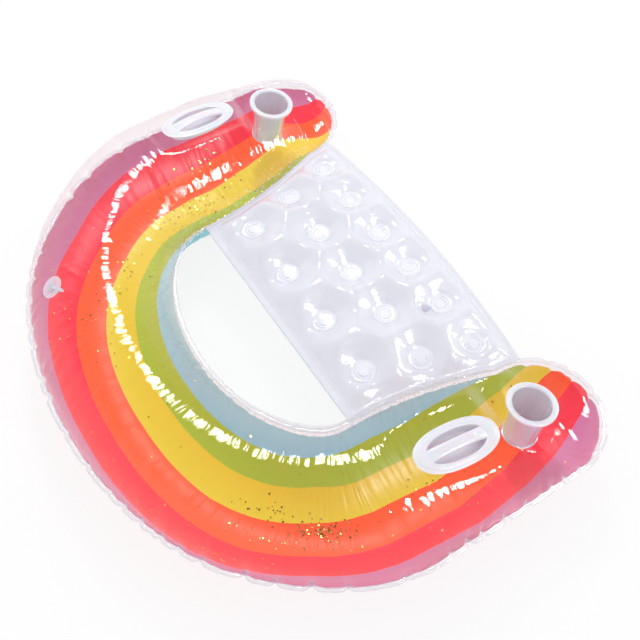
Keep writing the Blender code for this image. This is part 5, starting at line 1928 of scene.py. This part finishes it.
@dataclass(frozen=True)
class MilkyFilm(Finish):
    """Thick translucent film or vinyl."""

    colour: Colour = (0.80, 0.76, 0.84, 1.0)
    tint: Colour = (0.97, 0.96, 0.98, 1.0)
    opacity: float = 0.45
    edge: float = 0.5
    edge_blend: float = 0.35
    patchy: float = 0.15
    patch_start: float = 0.92
    grain: float = 0.0003
    grain_size: float = 0.008
    roughness: float = 0.22
    gain: float = 1.3
    gloss: float = 0.06

    def shade(self, net: Net) -> Socket:
        """Build the shader and give its output."""
        swells = net.swells(self.grain_size)
        normal = net.bump(0.5, self.grain, swells["Height"])
        clear = net.node("ShaderNodeBsdfTransparent", {"Color": self.tint})
        milk = net.node("ShaderNodeBsdfPrincipled", {
            "Base Color": self.colour, "Roughness": self.roughness, "Normal": normal,
        })
        weight = net.node("ShaderNodeLayerWeight", {"Blend": self.edge_blend, "Normal": normal}).outputs["Facing"]
        share = net.maths("MULTIPLY_ADD", weight, self.edge, self.opacity)
        patches = net.maths("MULTIPLY_ADD", swells["Mask"], self.patchy, self.patch_start)
        body = net.mix_shader(net.maths("MULTIPLY", share, patches, clamp=True), clear, milk)
        return self.glossed(net, body, normal, self.gain, self.gloss)


@dataclass(frozen=True)
class GoldLeaf(Finish):
    """Bright gold foil, each fleck a little lighter or darker."""

    dark: Colour = (0.62, 0.42, 0.06, 1.0)
    light: Colour = (1.0, 0.80, 0.26, 1.0)
    scale: float = 160.0
    roughness: tuple[float, float] = (0.18, 0.34)

    def shade(self, net: Net) -> Socket:
        """Build the shader and give its output."""
        noise = net.noise(net.spot(), self.scale, 0.0)
        return net.node("ShaderNodeBsdfPrincipled", {
            "Base Color": net.mix_colour(net.remap(noise, 0.35, 0.65), self.dark, self.light),
            "Roughness": net.remap(noise, 0.0, 1.0, *self.roughness), "Metallic": 1.0,
        }).outputs[0]


def dress(obj: Obj, finish: Finish) -> None:
    """Give an object one finish all over."""
    obj.data.materials.clear()
    obj.data.materials.append(finish.material())
    obj.data.polygons.foreach_set("material_index", np.zeros(len(obj.data.polygons), np.int32))


def settle(obj: Obj, finish: Finish, slot: str, body: str, *nodes: str) -> None:
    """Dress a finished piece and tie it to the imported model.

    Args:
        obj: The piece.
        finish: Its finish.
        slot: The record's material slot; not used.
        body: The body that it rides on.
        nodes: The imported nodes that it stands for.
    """
    dress(obj, finish)
    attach(obj, body)
    if nodes:
        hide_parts(*nodes)


@dataclass(frozen=True)
class Softbox:
    """A lamp, or a card that only gloss shows."""

    name: str
    place: tuple[float, float, float]
    size: tuple[float, float]
    power: float
    lights: bool
    target: tuple[float, float, float] = (0.0, 0.0, 0.13)

    def build(self) -> None:
        """Add the lamp, turned to what it lights."""
        data = bpy.data.lights.new(self.name, "AREA")
        data.shape = "RECTANGLE"
        data.size, data.size_y = self.size
        data.energy = self.power
        obj = bpy.data.objects.new(self.name, data)
        obj.location = self.place
        obj.rotation_euler = (Vector(self.target) - Vector(self.place)).to_track_quat("-Z", "Y").to_euler()
        obj.visible_diffuse = self.lights
        bpy.context.scene.collection.objects.link(obj)


@dataclass
class Studio:
    """The floor, the soft lamps and the camera."""

    lens: float = 53.4375
    sensor: float = 36.0
    far: float = 30.0
    camera_place: tuple[float, float, float] = (-0.8713, 0.4433, 1.6213)
    camera_turn: tuple[float, float, float] = (radians(33.181), 0.0, radians(237.14))
    floor_z: float = -0.0004
    floor_half: float = 9.0
    floor_albedo: float = 0.85
    seen_albedo: float = 0.15
    seen_glow: float = 0.85
    sky_fill: float = 0.84
    sky_low: float = 0.90
    sky_high: float = 0.16
    sky_change: tuple[float, float] = (0.30, 0.62)
    see_through: int = 24
    lamps: tuple[Softbox, ...] = (
        Softbox("key_softbox", (1.45, -0.87, 2.5), size=(0.40, 0.60), power=21.0, lights=True),
        Softbox("side_card", (-1.90, -1.10, 2.10), size=(0.80, 0.90), power=68.0, lights=False),
        Softbox("front_card", (-0.67, -2.7, 1.25), size=(0.60, 0.60), power=30.0, lights=False),
    )

    def floor(self) -> None:
        """Make the pale floor, which a camera sees as white but for the shadow."""
        half = self.floor_half
        corners = [(x, y, self.floor_z) for x, y in ((-half, -half), (half, -half), (half, half), (-half, half))]
        obj = mesh_object("studio_floor", np.array(corners), [[0, 1, 2, 3]])
        material = bpy.data.materials.new("studio_floor")
        net = fresh_net(material)
        path = net.node("ShaderNodeLightPath").outputs
        matt, dim = (net.node("ShaderNodeBsdfDiffuse", {"Color": (albedo,) * 3 + (1.0,)})
                     for albedo in (self.floor_albedo, self.seen_albedo))
        glow = net.node("ShaderNodeEmission", {"Color": WHITE, "Strength": self.seen_glow})
        bright = net.node("ShaderNodeAddShader", {0: dim, 1: glow})
        seen = net.maths("ADD", path["Is Camera Ray"], path["Is Glossy Ray"])
        seen = net.maths("ADD", seen, path["Is Transmission Ray"], clamp=True)
        net.node("ShaderNodeOutputMaterial", {"Surface": net.mix_shader(seen, matt, bright)})
        obj.data.materials.append(material)

    def backdrop(self) -> None:
        """Set the world: a plain fill that a camera sees as white, and gloss as a white wall under a grey ceiling."""
        world = bpy.data.worlds.new("studio")
        net = fresh_net(world)
        path = net.node("ShaderNodeLightPath").outputs
        height = net.axes(net.node("ShaderNodeTexCoord").outputs["Generated"])[2]
        mirrored = net.remap(height, *self.sky_change, self.sky_low, self.sky_high, interpolation_type="SMOOTHSTEP")
        other = net.maths("ADD", path["Is Glossy Ray"], path["Is Transmission Ray"], clamp=True)
        plain = net.node("ShaderNodeMix", {"Factor": other, 2: self.sky_fill, 3: mirrored})
        strength = net.node("ShaderNodeMix", {"Factor": path["Is Camera Ray"], 2: plain, 3: 1.0})
        ground = net.node("ShaderNodeBackground", {"Color": WHITE, "Strength": strength})
        net.node("ShaderNodeOutputWorld", {"Surface": ground})
        bpy.context.scene.world = world

    def build(self) -> None:
        """Make the floor, the lamps and the camera."""
        self.floor()
        self.backdrop()
        for lamp in self.lamps:
            lamp.build()
        data = bpy.data.cameras.new("camera")
        data.lens, data.sensor_width, data.clip_end = self.lens, self.sensor, self.far
        camera = bpy.data.objects.new("camera", data)
        camera.location = self.camera_place
        camera.rotation_euler = self.camera_turn
        scene = bpy.context.scene
        scene.collection.objects.link(camera)
        scene.camera = camera
        scene.view_settings.view_transform = "Standard"
        scene.cycles.transparent_max_bounces = self.see_through


def seats_of(form: TubeForm, cup_setback: float = 0.147, handle_setback: float = 0.3145, handle_out: float = 0.0235,
             yaw: float = radians(4)) -> tuple[FilmSeat, FilmSeat]:
    """Give the flat seats of the cup holder and the handle on the left arm.

    Args:
        form: The tube.
        cup_setback: How far the cup lies behind the tube's front.
        handle_setback: How far the handle does.
        handle_out: How far the handle stands out from the arm's middle line.
        yaw: The handle's turn.

    Returns:
        The cup's seat and the handle's.
    """
    cup_y, handle_y = form.front_y + cup_setback, form.front_y + handle_setback
    cup = FilmSeat(
        form.arm_centre_x(cup_y), cup_y, yaw=0.0, level=0.0625, pitch=radians(8), tilt=radians(-3),
        back_length=0.064, front_length=0.082, half_width=0.072,
    )
    handle = FilmSeat(
        form.arm_centre_x(handle_y) + handle_out * cos(yaw), handle_y + handle_out * sin(yaw), yaw=yaw, level=0.107,
        pitch=radians(7), tilt=radians(4), back_length=0.104, front_length=0.104, half_width=0.060,
    )
    return cup, handle


def all_finishes() -> dict[str, Finish]:
    """List the chair's finishes by a short name."""
    return {
        "clear": ClearFilm("clear_vinyl_film"),
        "print": PrintedFilm("banded_vinyl_film"),
        "mat": MatFilm("seat_vinyl_film"),
        "rib": MilkyFilm("pressed_vinyl", colour=(0.88, 0.88, 0.95, 1.0)),
        "white": Moulding("white_moulded_vinyl"),
        "well": MilkyFilm("milky_well_film", colour=(0.91, 0.86, 0.93, 1.0), opacity=0.74, edge=0.25),
        "vinyl": MilkyFilm("clear_valve_vinyl", colour=(0.92, 0.90, 1.0, 1.0), opacity=0.30),
        "gold": GoldLeaf("gold_foil"),
    }


def main() -> None:
    """Build the chair and the studio."""
    logging.basicConfig(level=logging.INFO, format="%(message)s")
    finishes = all_finishes()
    form = TubeForm()
    cup_seat, handle_seat = seats_of(form)
    films = TubeFilms(form, (cup_seat, handle_seat), ValvePlace())
    mat = SeatMat(form)
    makers: list[Any] = [films, mat]
    for side in Side:
        makers += [CupHolder(cup_seat, side), GrabHandle(handle_seat, side)]
    makers.append(Valve(
        "tube", ValvePlace().matrix(), lug_end=0.0340, lug_top=0.0010, cap_radius=0.0070, cap_bottom=0.0051,
        strap_width=0.0060, strap=0.0010, rise=0.0022,
    ))
    makers.append(Valve(
        "seat", mat.valve_matrix(), lug_end=0.0132, lug_top=0.0008, cap_radius=0.0036, cap_bottom=0.0037,
        strap_width=0.0032, strap=0.0007, rise=0.0014,
    ))
    makers.append(GoldFlecks(films))
    for maker in makers:
        for obj in maker.build(finishes):
            log.info("%s: %d faces", obj.name, len(obj.data.polygons))
    Studio().build()


if __name__ == "__main__":
    main()
